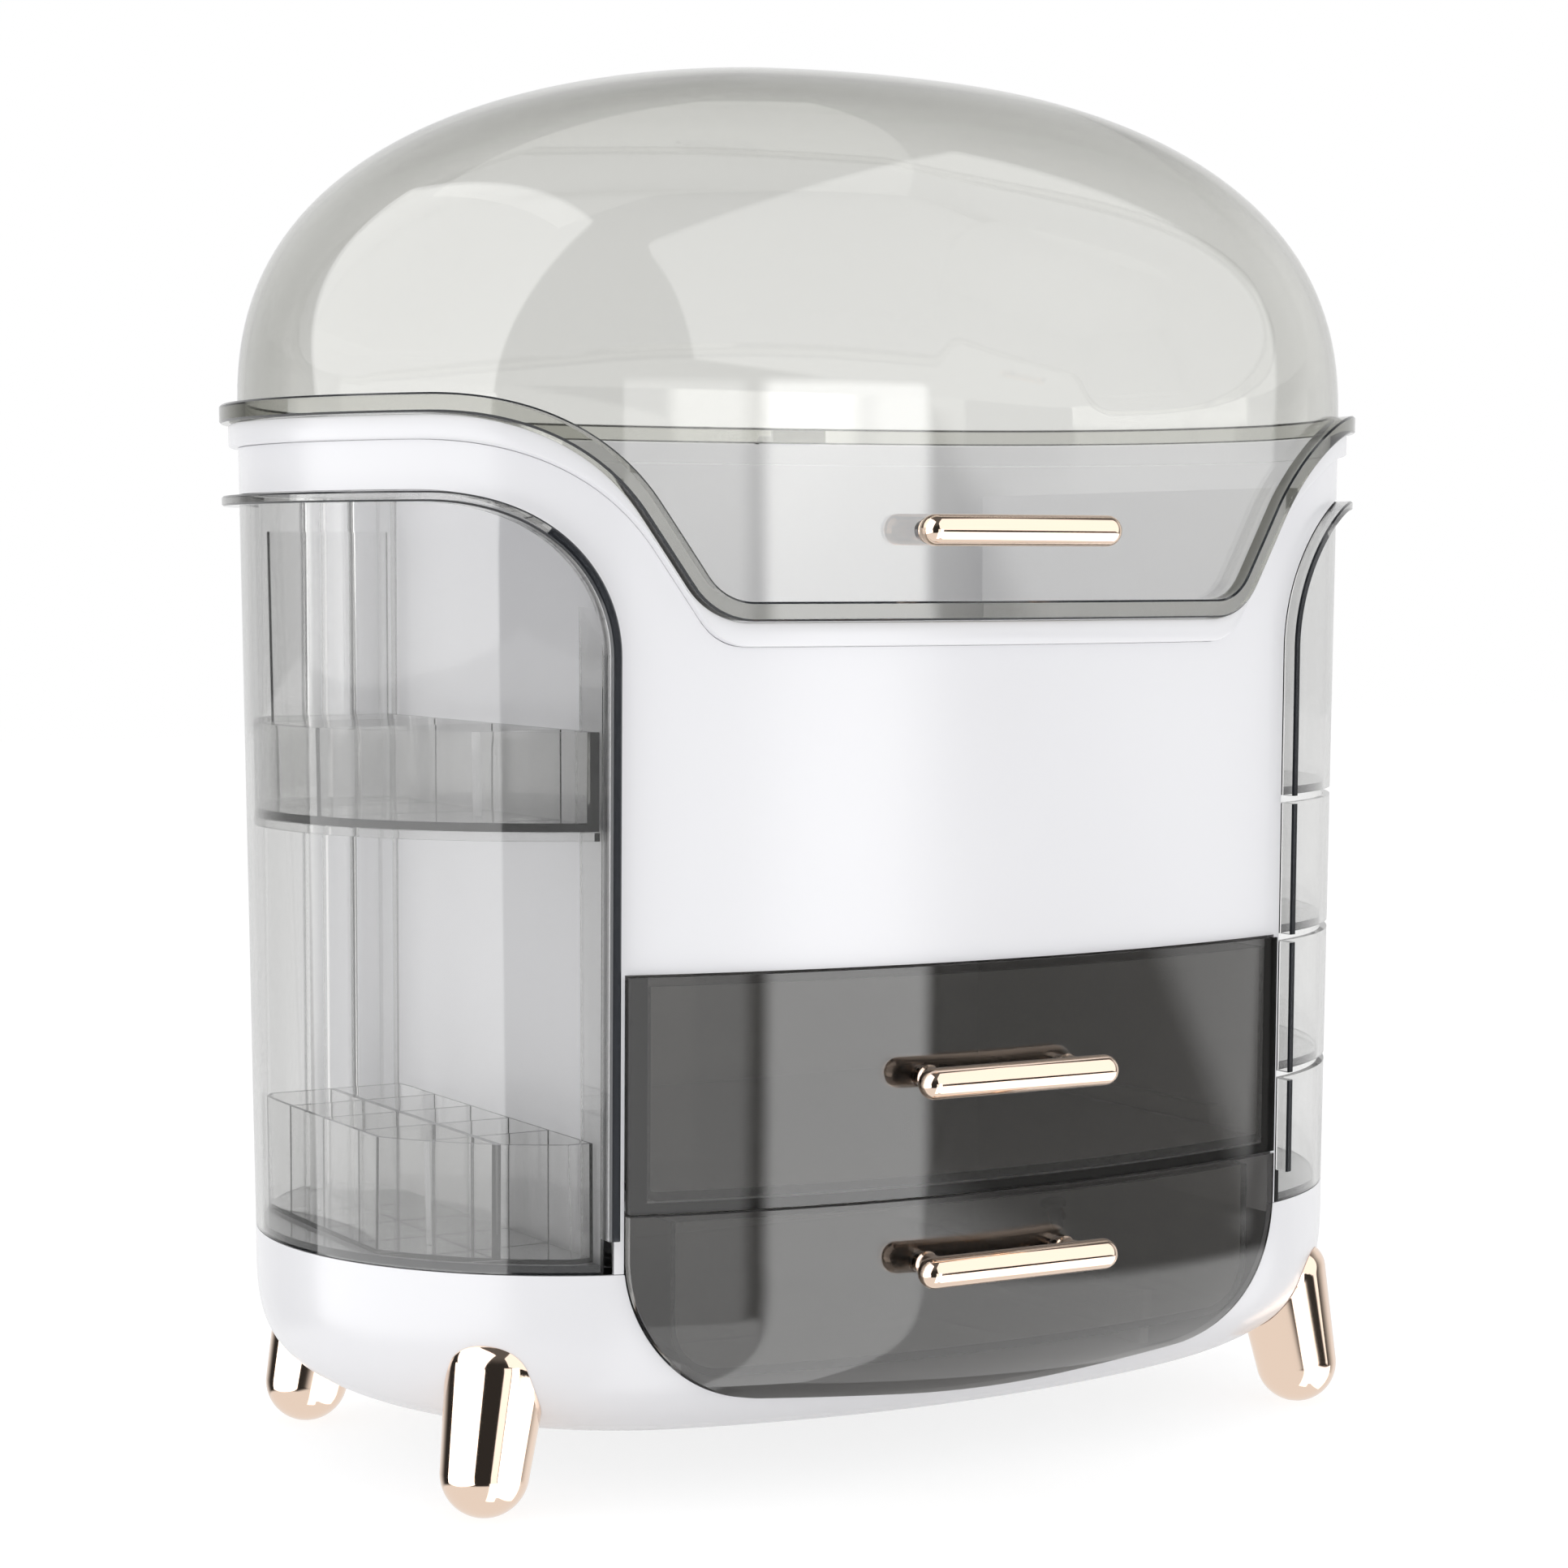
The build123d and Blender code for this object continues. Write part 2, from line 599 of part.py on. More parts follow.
def make_lipstick_rack():
    """Clear rack of open cells in two rows on the cabinet's floor."""
    low = BAY_FLOOR + RUNNING + FLOOR_T + SEAM
    near = CABINET_NEAR
    gap = CLEAR_WALL + LOOSE_FIT
    rack = oval(-gap, low, RACK_TOP) & block(-RACK_OUTER, -near, RACK_FRONT, RACK_REAR, low, RACK_TOP)
    space = oval(-gap - RACK_WALL, low + RACK_WALL, RACK_TOP)
    pitch = (RACK_REAR - RACK_FRONT - RACK_WALL) / RACK_CELLS
    for i in range(RACK_CELLS):
        front = RACK_FRONT + RACK_WALL + i * pitch
        rear = front + pitch - RACK_WALL
        for left, right in ((-RACK_OUTER, -RACK_MIDDLE), (-RACK_MIDDLE, -near)):
            cell = block(left + RACK_WALL, right - RACK_WALL / 2, front, rear, low + RACK_WALL, RACK_TOP)
            cut = space & cell
            if cut.volume > 0:
                rack = rack - cut
    return rack


def knuckle(side, left, right):
    """One barrel segment of a hinge, bored for its pin."""
    middle = side * HINGE_X
    barrel = rod_x(HINGE_Y, HINGE_Z, BARREL_R, middle + left, middle + right)
    return barrel - rod_x(HINGE_Y, HINGE_Z, HINGE_PIN_R + HINGE_PLAY, middle + left, middle + right)


def lug(side, left, right, grow, low, high, tongue_low, tongue_high):
    """Leaf against a wall of the given growth, and a tongue from it out to the barrel."""
    middle = side * HINGE_X
    far = wall_y(HINGE_X + HINGE_HALF, grow, low) - WALL
    near = wall_y(HINGE_X - HINGE_HALF, grow, high) + LEAF_T
    leaf = block(middle - HINGE_HALF, middle + HINGE_HALF, far, near, low, high)
    tongue = block(middle + left, middle + right, far, HINGE_Y, tongue_low, tongue_high)
    bore = rod_x(HINGE_Y, HINGE_Z, HINGE_PIN_R + HINGE_PLAY, middle - HINGE_HALF, middle + HINGE_HALF)
    wall = oval(grow + SEAM, low - WALL, high + WALL)
    return (leaf + tongue) - bore - wall


def make_hinge_base(side):
    """Hinge half on the raised band: a leaf, and the two outer knuckles."""
    split = HINGE_HALF / 3 + KNUCKLE_GAP
    low = HINGE_Z - LEAF_DROP
    high = HINGE_Z - BARREL_R / 3
    tongue_low = HINGE_Z - BARREL_R
    left = lug(side, -HINGE_HALF, -split, COLLAR_PROUD, low, high, tongue_low, high)
    right = lug(side, split, HINGE_HALF, COLLAR_PROUD, low, high, tongue_low, high)
    return left + right + knuckle(side, -HINGE_HALF, -split) + knuckle(side, split, HINGE_HALF)


def make_hinge_leaf(side):
    """Hinge half on the lid's flange: a leaf above the barrel, and the middle knuckle."""
    split = HINGE_HALF / 3
    low = HINGE_Z + RUNNING
    tongue_low = HINGE_Z + BARREL_R / 3
    leaf = lug(side, -split, split, LID_FLANGE, low, RIM_HIGH, tongue_low, HINGE_Z + BARREL_R)
    return leaf + knuckle(side, -split, split)


def make_hinge_pin(side):
    """Pin through the three knuckles."""
    return rod_x(HINGE_Y, HINGE_Z, HINGE_PIN_R, side * HINGE_X - HINGE_HALF, side * HINGE_X + HINGE_HALF)


def build():
    """All the pieces, by node name."""
    nodes = {}
    nodes["base_bowl"] = make_base_bowl()
    nodes["body_shell"] = make_body_shell()
    nodes["rim_collar"] = make_rim_collar()
    nodes["left_bay_liner"] = make_bay_liner(-1)
    nodes["right_bay_liner"] = make_bay_liner(1)
    nodes["well_floor"] = plate(INNER_HALF, WELL_FLOOR - WALL, WELL_FLOOR)
    nodes["drawer_deck"] = plate(INNER_HALF, DECK_TOP - DECK_T, DECK_TOP)
    nodes["upper_drawer_rails"] = make_rails(UPPER_BOX_HALF + RUNNING, DECK_TOP + SEAM, INNER_HALF)
    rail_foot = BOWL_BOTTOM + WALL + SEAM
    lower_rails = []
    for side in (-1, 1):
        x = side * (LOWER_BOX_HALF - LOWER_BOX_R)
        lower_rails.append(
            block(x - side * LOWER_RAIL_T, x, -RAIL_HALF, RAIL_HALF, rail_foot, LOWER_BOX_BOTTOM - RUNNING)
        )
    nodes["lower_drawer_rails"] = lower_rails
    for front, name in ((-1, "front"), (1, "rear")):
        for side, hand in ((-1, "left"), (1, "right")):
            nodes[f"foot_{name}_{hand}"] = make_foot(side, front)
    foot_screws = []
    for side in (-1, 1):
        for front in (-1, 1):
            foot_screws.append(foot_screw(side, front, 0))
    nodes["foot_screws"] = foot_screws

    lid = make_lid_dome()
    handle, screws, holes = fit_handle(LID_HANDLE_Z, 0, CLEAR_WALL)
    for hole in holes:
        lid = lid - hole
    nodes["lid_dome"] = lid
    nodes["lid_handle"] = handle
    nodes["lid_handle_screws"] = screws
    for side, hand in ((-1, "left"), (1, "right")):
        nodes[f"{hand}_hinge_base"] = make_hinge_base(side)
        nodes[f"{hand}_hinge_leaf"] = make_hinge_leaf(side)
        nodes[f"{hand}_hinge_pin"] = make_hinge_pin(side)

    thickness = FACE_T + CLEAR_WALL
    upper = make_upper_drawer()
    handle, screws, holes = fit_handle(UPPER_HANDLE_Z, FACE_PROUD, thickness)
    for hole in holes:
        upper = upper - hole
    nodes["upper_drawer"] = upper
    nodes["upper_drawer_handle"] = handle
    nodes["upper_handle_screws"] = screws
    lower = make_lower_drawer()
    handle, screws, holes = fit_handle(LOWER_HANDLE_Z, FACE_PROUD, thickness)
    for hole in holes:
        lower = lower - hole
    nodes["lower_drawer"] = lower
    nodes["lower_drawer_handle"] = handle
    nodes["lower_handle_screws"] = screws

    nodes["left_cabinet_shell"] = make_left_cabinet()
    nodes["left_cabinet_tray"] = make_cabinet_tray()
    nodes["left_back_board"] = make_back_board()
    nodes["lipstick_rack"] = make_lipstick_rack()
    rod_low = BAY_FLOOR - WALL
    rod_high = BAY_TOP + WALL
    nodes["left_swing_rod"] = rod(-PIVOT_X, PIVOT_Y, ROD_R, rod_low, rod_high)
    nodes["right_swing_rod"] = rod(PIVOT_X, PIVOT_Y, ROD_R, rod_low, rod_high)
    nodes["right_tray_top"] = make_top_tray(1)
    upper_low = TOP_TRAY_BOTTOM - TRAY_PITCH
    middle_low = upper_low - TRAY_PITCH
    nodes["right_tray_upper"] = make_tray(1, upper_low, upper_low + TRAY_PITCH - TRAY_GAP, upper_low)
    nodes["right_tray_middle"] = make_tray(1, middle_low, upper_low - TRAY_GAP, middle_low)
    nodes["right_tray_lower"] = make_tray(
        1, BAY_FLOOR + RUNNING, middle_low - TRAY_GAP, BAY_FLOOR + FLANGE_FOOT
    )
    return nodes


def save(nodes):
    """One file per node; a group of separate solids is written as one compound."""
    os.makedirs("parts", exist_ok=True)
    for name, shape in nodes.items():
        if isinstance(shape, list):
            shape = Compound(children=shape)
        export_step(shape, f"parts/{name}.step")


save(build())
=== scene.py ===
import json
from math import atan2, cos, pi, radians, sin, sqrt, tan

import bmesh
import bpy
import numpy as np
from mathutils import Euler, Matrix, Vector


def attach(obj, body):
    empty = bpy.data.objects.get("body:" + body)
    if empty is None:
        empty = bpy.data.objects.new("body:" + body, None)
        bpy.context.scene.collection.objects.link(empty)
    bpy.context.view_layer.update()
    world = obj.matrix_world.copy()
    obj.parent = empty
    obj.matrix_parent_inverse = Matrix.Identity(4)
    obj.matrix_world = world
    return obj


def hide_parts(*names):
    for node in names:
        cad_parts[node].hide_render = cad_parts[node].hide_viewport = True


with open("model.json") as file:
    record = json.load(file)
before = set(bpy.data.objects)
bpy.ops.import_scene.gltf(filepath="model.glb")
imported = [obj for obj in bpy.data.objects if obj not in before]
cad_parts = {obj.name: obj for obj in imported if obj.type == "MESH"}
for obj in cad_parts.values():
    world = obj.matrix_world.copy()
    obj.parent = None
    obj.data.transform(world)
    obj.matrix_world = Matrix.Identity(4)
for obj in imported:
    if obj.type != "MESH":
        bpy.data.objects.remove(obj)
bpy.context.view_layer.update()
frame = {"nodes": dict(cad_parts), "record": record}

# Makeup organizer box. Shapes are worked out in millimetres and become metres when a mesh is made.

nodes = frame["nodes"]
scene = bpy.context.scene
scene.view_settings.view_transform = "Standard"

MM = 0.001
WELD = 0.004 * MM           # points closer than this are one
KEYS = 200                  # the same for points that sheets share, as a number to the millimetre
KEY_SHIFT = 0.137           # keeps round values off the steps

# Oval plan of the box, as in the solids
HALF_LENGTH = 165.0
HALF_WIDTH = 100.5
END_R = 90.0
END_CENTRE = HALF_LENGTH - END_R
SIDE_R = (END_CENTRE ** 2 + HALF_WIDTH ** 2 - END_R ** 2) / (2 * (HALF_WIDTH - END_R))
SIDE_CENTRE = SIDE_R - HALF_WIDTH
TURN = atan2(SIDE_CENTRE, END_CENTRE)
LEAN = tan(radians(0.775))
SHELL_WALL = 2.5
CLEAR_WALL = 2.0
TOUCH = 0.03                # between two clear mouldings that lie against each other
SEAM = 0.2                  # between two white mouldings, and round the feet
EDGE = 1                    # finish of a clear slot's edges, coloured nearly black as painted shade
PLAIN = 2                   # and its finish with hardly any smoke

# Heights
BOWL_BOTTOM = 18.0
BOWL_TOP = 64.7
BOWL_POLE = 11.7
BOWL_POWER = 4.0
RIM_HIGH = 291.4
RIM_LOW = 238.2
RIM_SLOPE = radians(57)
DIP_HALF = 80.8
SHOULDER_R = 62.0
DIP_R = 14.0
DOME_HEIGHT = 96.3
DOME_POWER = 2.35
LID_FLANGE = 5.0
LID_EASE = 0.55
COLLAR_LOW = 11.8
COLLAR_PROUD = 2.6
COLLAR_GAP = 0.3
COLLAR_EASE = 0.7
COLLAR_CORNER = 0.2         # how far back the middle of an eased edge lies

# Side bays
BAY_X = 106.2
BAY_TOP = 267.0
ARCH_TOP = 266.5
ARCH_R = 43.0
ARCH_X = BAY_X + ARCH_R
ARCH_Z = BAY_TOP - ARCH_R
HEEL_R = 13.0
STRIP_Y = -70.4             # where the strip beside the front edge ends
HEEL_Y = 52.1               # where the wall round the rod starts again
SWING_GAP = 0.5
PIVOT_INSET = 6.2
PIVOT_R = END_R - PIVOT_INSET
PIVOT_BEARING = radians(51)
PIVOT_X = END_CENTRE + PIVOT_R * cos(PIVOT_BEARING)
PIVOT_Y = PIVOT_R * sin(PIVOT_BEARING)
BLADE_T = 2.7
BLADE_PROUD = 4.8
BLADE_EASE = 0.5
BLADE_STOP = 27.0
BLADE_FOOT = 74.3
# rows of the flange's outer face that get the edge finish's painted shade
BLADE_PAINTED_SHADE_ROWS = 46
SIDE_LOW = 65.0
TOP_TRAY_LOW = 182.2
TOP_TRAY_INNER = 40.0
TRAY_PITCH = 39.6
TRAY_GAP = 2.3
LEDGE_LOW = 177.0           # the ledge under the cabinet's tray
LEDGE_TOP = 179.2
LEDGE_DEPTH = 5.0
LEDGE_X = 109.1
LEDGE_STOP = PIVOT_BEARING - radians(25)
EDGE_WIDTH = 2.6            # a face narrower than this is an edge of a clear plate

# Front drawers
OPENING_HALF = 103.8
OPENING_TOP = 142.5
FACE_PROUD = 2.15
FACE_T = 2.5
FACE_GAP = 0.5
FACE_HALF = OPENING_HALF - FACE_GAP
LOWER_FACE_TOP = 79.9
MOUTH_SIDE = 31.5
MOUTH_MIDDLE = 24.3
MOUTH_R = 40.0
MOUTH_SAG_R = 363.0
UPPER_FACE_LOW = 80.6
UPPER_BOX_HALF = 98.5
UPPER_BOX_LOW = 83.7
UPPER_BOX_TOP = 139.5
UPPER_BOX_R = 3.0
LOWER_BOX_HALF = 92.0
LOWER_BOX_LOW = 36.6
LOWER_BOX_TOP = 78.0
LOWER_BOX_R = 14.0
DRAWER_REAR = 83.978
FLOOR_T = 2.2

# Rod sleeves, handles and feet
SLEEVE_R = 3.9
SLEEVE_BORE = 2.06
SLEEVE_TOP = 266.7
SLEEVE_RISE = 2.0           # over a tray's wall
HANDLE_R = 4.2
HANDLE_LENGTH = 62.0
HANDLE_Y = -112.8
POST_R = 3.0
POST_SPACING = 44.0
POST_FLARE = ((1.2, 0), (0.5, 0.15), (0.15, 0.5), (-0.4, 0.6))      # way from the wall, and growth there
LID_HANDLE_Z = 256.7
UPPER_HANDLE_Z = 112.3
LOWER_HANDLE_Z = 62.4
FOOT_X = 132.5
FOOT_Y = 61.4
FOOT_SPLAY = 11.0
FOOT_TIP_R = 11.8
FOOT_TOP_R = 14.2
FOOT_LENGTH = 35.0
FOOT_ROUND = 7.0
FOOT_FLAT = 0.4
FOOT_POLE = 0.4             # radius of the hole that the foot's cap closes


# Surfaces

def oval(bearing, grow):
    """Point of the oval plan whose outward normal has this bearing: the centre of the end arc or the side
    arc that the bearing belongs to, plus the arc's grown radius times the unit vector of the bearing."""
    c, s = np.cos(bearing), np.sin(bearing)
    end = np.abs(c) > cos(TURN)
    r = np.where(end, END_R, SIDE_R) + grow
    x = np.where(end, np.sign(c) * END_CENTRE, 0.0) + r * c
    y = np.where(end, 0.0, -np.sign(s) * SIDE_CENTRE) + r * s
    return x, y


def body_scale(z, grow):
    """Scale and growth of the plan at a height of the body: a drafted wall above the bowl, and below it the
    superellipse (1 - depth ** power) ** (1 / power), where depth is the share of the way to the pole."""
    depth = np.clip((np.minimum(z, BOWL_TOP) - BOWL_TOP) / (BOWL_POLE - grow - BOWL_TOP), 0, 1)
    scale = (1 - depth ** BOWL_POWER) ** (1 / BOWL_POWER)
    return scale, grow + np.maximum(z - BOWL_TOP, 0) * LEAN


def stack(x, y, z):
    """Points from coordinates, any of which may be one value for a whole row or column."""
    return np.stack(np.broadcast_arrays(x, y, z), axis=-1)


def around(bearing, z, grow):
    """Point of the body's outer skin at a bearing and height: the oval's point times the scale there."""
    scale, g = body_scale(z, grow)
    x, y = oval(bearing, g)
    return stack(scale * x, scale * y, z)


def facing(x, z, grow):
    """Bearing of the front skin at an X and height: the arc cosine of the offset from the arc's centre
    over its grown radius, turned to the front."""
    scale, g = body_scale(z, grow)
    u = np.abs(x) / scale
    side_share = u / (SIDE_R + g)
    end_share = (u - END_CENTRE) / (END_R + g)
    share = np.where(side_share < cos(TURN), side_share, end_share)
    return -np.arccos(np.clip(np.sign(x) * share, -1, 1))


def front(x, z, grow):
    """Point of the front skin straight behind an X and a height."""
    x, z = np.broadcast_arrays(np.asarray(x, float), np.asarray(z, float))
    return around(facing(x, z, grow), z, grow)


def rim_line(x, y, inset=0.0, drop=0.0):
    """Height of the rim over an X: level behind; in front a level dip, a sloping flank and a level
    shoulder, joined by arcs tangent to both, offset inwards along its normal and dropped."""
    half = tan(RIM_SLOPE / 2)
    low = RIM_LOW - inset - drop
    high = RIM_HIGH - inset - drop
    low_x = DIP_HALF + inset * half
    high_x = low_x + (RIM_HIGH - RIM_LOW) / tan(RIM_SLOPE)
    dip_r = DIP_R + inset
    shoulder_r = SHOULDER_R - inset
    u = np.abs(x)
    dip_start = low_x - dip_r * half
    shoulder_end = high_x + shoulder_r * half
    dip_end = dip_start + dip_r * sin(RIM_SLOPE)
    shoulder_start = shoulder_end - shoulder_r * sin(RIM_SLOPE)
    dip_arc = low + dip_r - np.sqrt(np.maximum(dip_r ** 2 - (u - dip_start) ** 2, 0))
    shoulder_arc = high - shoulder_r + np.sqrt(np.maximum(shoulder_r ** 2 - (u - shoulder_end) ** 2, 0))
    flank = low + (u - low_x) * tan(RIM_SLOPE)
    z = np.where(u < dip_start, low, dip_arc)
    z = np.where(u > dip_end, flank, z)
    z = np.where(u > shoulder_start, shoulder_arc, z)
    z = np.where(u > shoulder_end, high, z)
    return np.where(y > 0, high, z)


def rim_point(bearing, grow, inset=0.0, drop=0.0):
    """Point of the skin on the rim line at a bearing: height and place are put into each other until
    they agree."""
    z = np.full_like(bearing, RIM_LOW)
    for _ in range(12):
        p = around(bearing, z, grow)
        z = 0.5 * z + 0.5 * rim_line(p[..., 0], p[..., 1], inset, drop)
    return around(bearing, z, grow)


# Meshes

def give_finishes(mesh, node):
    """Puts the finishes of a node's slot on a mesh, before its faces are given their numbers."""
    mesh.materials.clear()
    for finish in FINISHES[SLOTS[node]]:
        mesh.materials.append(finish)


def ride(mesh, node, body):
    """A mesh as a piece that rides on a body, replaces a node and has its slot."""
    piece = bpy.data.objects.new(node + "_form", mesh)
    scene.collection.objects.link(piece)
    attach(piece, body)
    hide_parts(node)
    return piece


def put(node, shape, body, bevel=0.0, sharp=35):
    """A piece that stands for a node, from points in millimetres, faces, and the number of each face's
    finish: doubles merged, normals outwards, smooth but for its sharp edges, and with a small bevel where
    one is asked for."""
    points, faces, kinds = shape
    mesh = bpy.data.meshes.new(node + "_form")
    corners = [list(dict.fromkeys(face)) for face in faces.tolist()]
    whole = np.array([len(face) > 2 for face in corners])
    mesh.from_pydata((points * MM).tolist(), [], [face for face in corners if len(face) > 2])
    give_finishes(mesh, node)
    mesh.polygons.foreach_set("material_index", kinds[whole])
    work = bmesh.new()
    work.from_mesh(mesh)
    bmesh.ops.remove_doubles(work, verts=work.verts, dist=WELD)
    bmesh.ops.recalc_face_normals(work, faces=work.faces)
    work.to_mesh(mesh)
    work.free()
    mesh.shade_smooth()
    mesh.set_sharp_from_angle(angle=radians(sharp))
    piece = ride(mesh, node, body)
    if bevel:
        edge = piece.modifiers.new("edge", "BEVEL")
        edge.width = bevel * MM
        edge.segments = 3
        edge.limit_method = "ANGLE"
        edge.angle_limit = radians(40)
        edge.harden_normals = True


def edged(node, body):
    """A node's own plates with their narrow edges in the edge finish, which paints shade on them: faces that
    meet without a sharp edge are one patch, and a patch is an edge where twice its area over its outline is
    less than a wall. The triangles are merged and keep their normals."""
    mesh = nodes[node].data.copy()
    give_finishes(mesh, node)
    normals = np.empty(len(mesh.loops) * 3)
    mesh.corner_normals.foreach_get("vector", normals)
    normals = normals.reshape(-1, 3, 3)
    work = bmesh.new()
    work.from_mesh(mesh)
    place = work.faces.layers.int.new("place")
    for number, face in enumerate(work.faces):
        face[place] = number
        face.tag = False
    bmesh.ops.remove_doubles(work, verts=work.verts, dist=WELD)
    for first in work.faces:
        if first.tag:
            continue
        first.tag = True
        patch = [first]
        outline = 0.0
        for face in patch:
            for edge in face.edges:
                if edge.calc_face_angle(pi) > radians(20):
                    outline += edge.calc_length()
                    continue
                for other in edge.link_faces:
                    if not other.tag:
                        other.tag = True
                        patch.append(other)
        width = 2 * sum(face.calc_area() for face in patch) / max(outline, MM)
        for face in patch:
            # narrow patches get the edge finish's painted shade
            face.material_index = EDGE if width < EDGE_WIDTH * MM else 0
    kept = np.array([face[place] for face in work.faces])
    work.to_mesh(mesh)
    work.free()
    mesh.shade_smooth()
    mesh.normals_split_custom_set(normals[kept].reshape(-1, 3).tolist())
    ride(mesh, node, body)


def quads(rows, columns, offset=0):
    """Faces of a grid of points, counted from an offset."""
    i = np.arange(rows * columns).reshape(rows, columns) + offset
    return np.stack([i[:-1, :-1], i[:-1, 1:], i[1:, 1:], i[1:, :-1]], axis=-1).reshape(-1, 4)


def join_grids(grids, rims=()):
    """Points and faces of several grids together, and the finish of each face: EDGE for the grids whose
    numbers are in rims."""
    points = []
    faces = []
    kinds = []
    offset = 0
    for number, grid in enumerate(grids):
        rows, columns = grid.shape[:2]
        points.append(grid.reshape(-1, 3))
        faces.append(quads(rows, columns, offset))
        kinds.append(np.full(len(faces[-1]), EDGE if number in rims else 0))
        offset += rows * columns
    return np.concatenate(points), np.concatenate(faces), np.concatenate(kinds)


def slab(pairs, rim=0):
    """Closed wall between matching outer and inner grids: the outer faces, the inner faces turned round,
    and a face from each free edge of the outer sheet to the same edge of the inner sheet. rim is the
    finish of those edge faces where the wall is thin."""
    outer, faces = join_grids([pair[0] for pair in pairs])[:2]
    inner = join_grids([pair[1] for pair in pairs])[0]
    keys = np.floor(outer * KEYS + KEY_SHIFT).astype(np.int64)
    first, back = np.unique(keys, axis=0, return_index=True, return_inverse=True)[1:]
    outer, inner, faces = outer[first], inner[first], back.reshape(-1)[faces]
    edges = np.concatenate([faces[:, [0, 1]], faces[:, [1, 2]], faces[:, [2, 3]], faces[:, [3, 0]]])
    edges = edges[edges[:, 0] != edges[:, 1]]
    kept, count = np.unique(np.sort(edges, axis=1), axis=0, return_counts=True)
    free = kept[count == 1]
    n = len(outer)
    sides = np.stack([free[:, 0], free[:, 1], free[:, 1] + n, free[:, 0] + n], axis=1)
    thick = np.linalg.norm(outer - inner, axis=1)[free].max(axis=1)
    kinds = np.concatenate([np.zeros(2 * len(faces), int), np.where(thick < EDGE_WIDTH, rim, 0)])
    return np.concatenate([outer, inner]), np.concatenate([faces, faces[:, ::-1] + n, sides]), kinds


def merge(parts):
    """Several shapes as one: their points, faces and finishes after each other."""
    points = []
    faces = []
    kinds = []
    offset = 0
    for part in parts:
        points.append(part[0])
        faces.append(part[1] + offset)
        kinds.append(part[2])
        offset += len(part[0])
    return np.concatenate(points), np.concatenate(faces), np.concatenate(kinds)


def mirrored(shape):
    """A shape with its left and right changed about."""
    points, faces, kinds = shape
    return points * np.array([-1, 1, 1]), faces, kinds


def plain(shape):
    """A shape with all its faces in the finish with hardly any smoke."""
    points, faces, kinds = shape
    return points, faces, np.full(len(faces), PLAIN)


def tube(rings, rim=0):
    """Closed tube through a grid of rings, with a flat cap at each end: rings is rows by corners by 3, and
    rim is the finish of the faces between the rings."""
    loop = np.concatenate([rings, rings[:, :1]], axis=1)
    points, faces = join_grids([loop])[:2]
    rows, columns = loop.shape[:2]
    middle = np.array([rings[0].mean(axis=0), rings[-1].mean(axis=0)])
    base = rows * columns
    first = np.arange(columns)
    last = first + (rows - 1) * columns
    start = np.stack([first[1:], first[:-1], np.full(columns - 1, base), first[1:]], axis=1)
    end = np.stack([last[:-1], last[1:], np.full(columns - 1, base + 1), last[:-1]], axis=1)
    kinds = np.repeat([rim, 0], [len(faces), len(start) + len(end)])
    return np.concatenate([points, middle]), np.concatenate([faces, start, end]), kinds


def even_bearings(count):
    """Bearings once round the oval, at even lengths along it."""
    fine = np.linspace(0, 2 * pi, 4001)
    x, y = oval(fine, 0.0)
    length = np.concatenate([[0], np.cumsum(np.hypot(np.diff(x), np.diff(y)))])
    return np.interp(np.linspace(0, length[-1], count + 1), length, fine)


def paired(maker, wall):
    """Outer and inner sheet of a wall, from a function of growth."""
    return maker(0.0), maker(-wall)


# Body

def heel_bearing(z, grow, radius):
    """Bearing, past the swing rod, where the outer skin leaves a circle about the rod: the law of cosines
    between the end arc's radius, the rod's distance from that arc's centre, and the circle's radius."""
    r = END_R + grow + (z - BOWL_TOP) * LEAN
    share = (r ** 2 + PIVOT_R ** 2 - radius ** 2) / (2 * r * PIVOT_R)
    return PIVOT_BEARING + np.arccos(share)


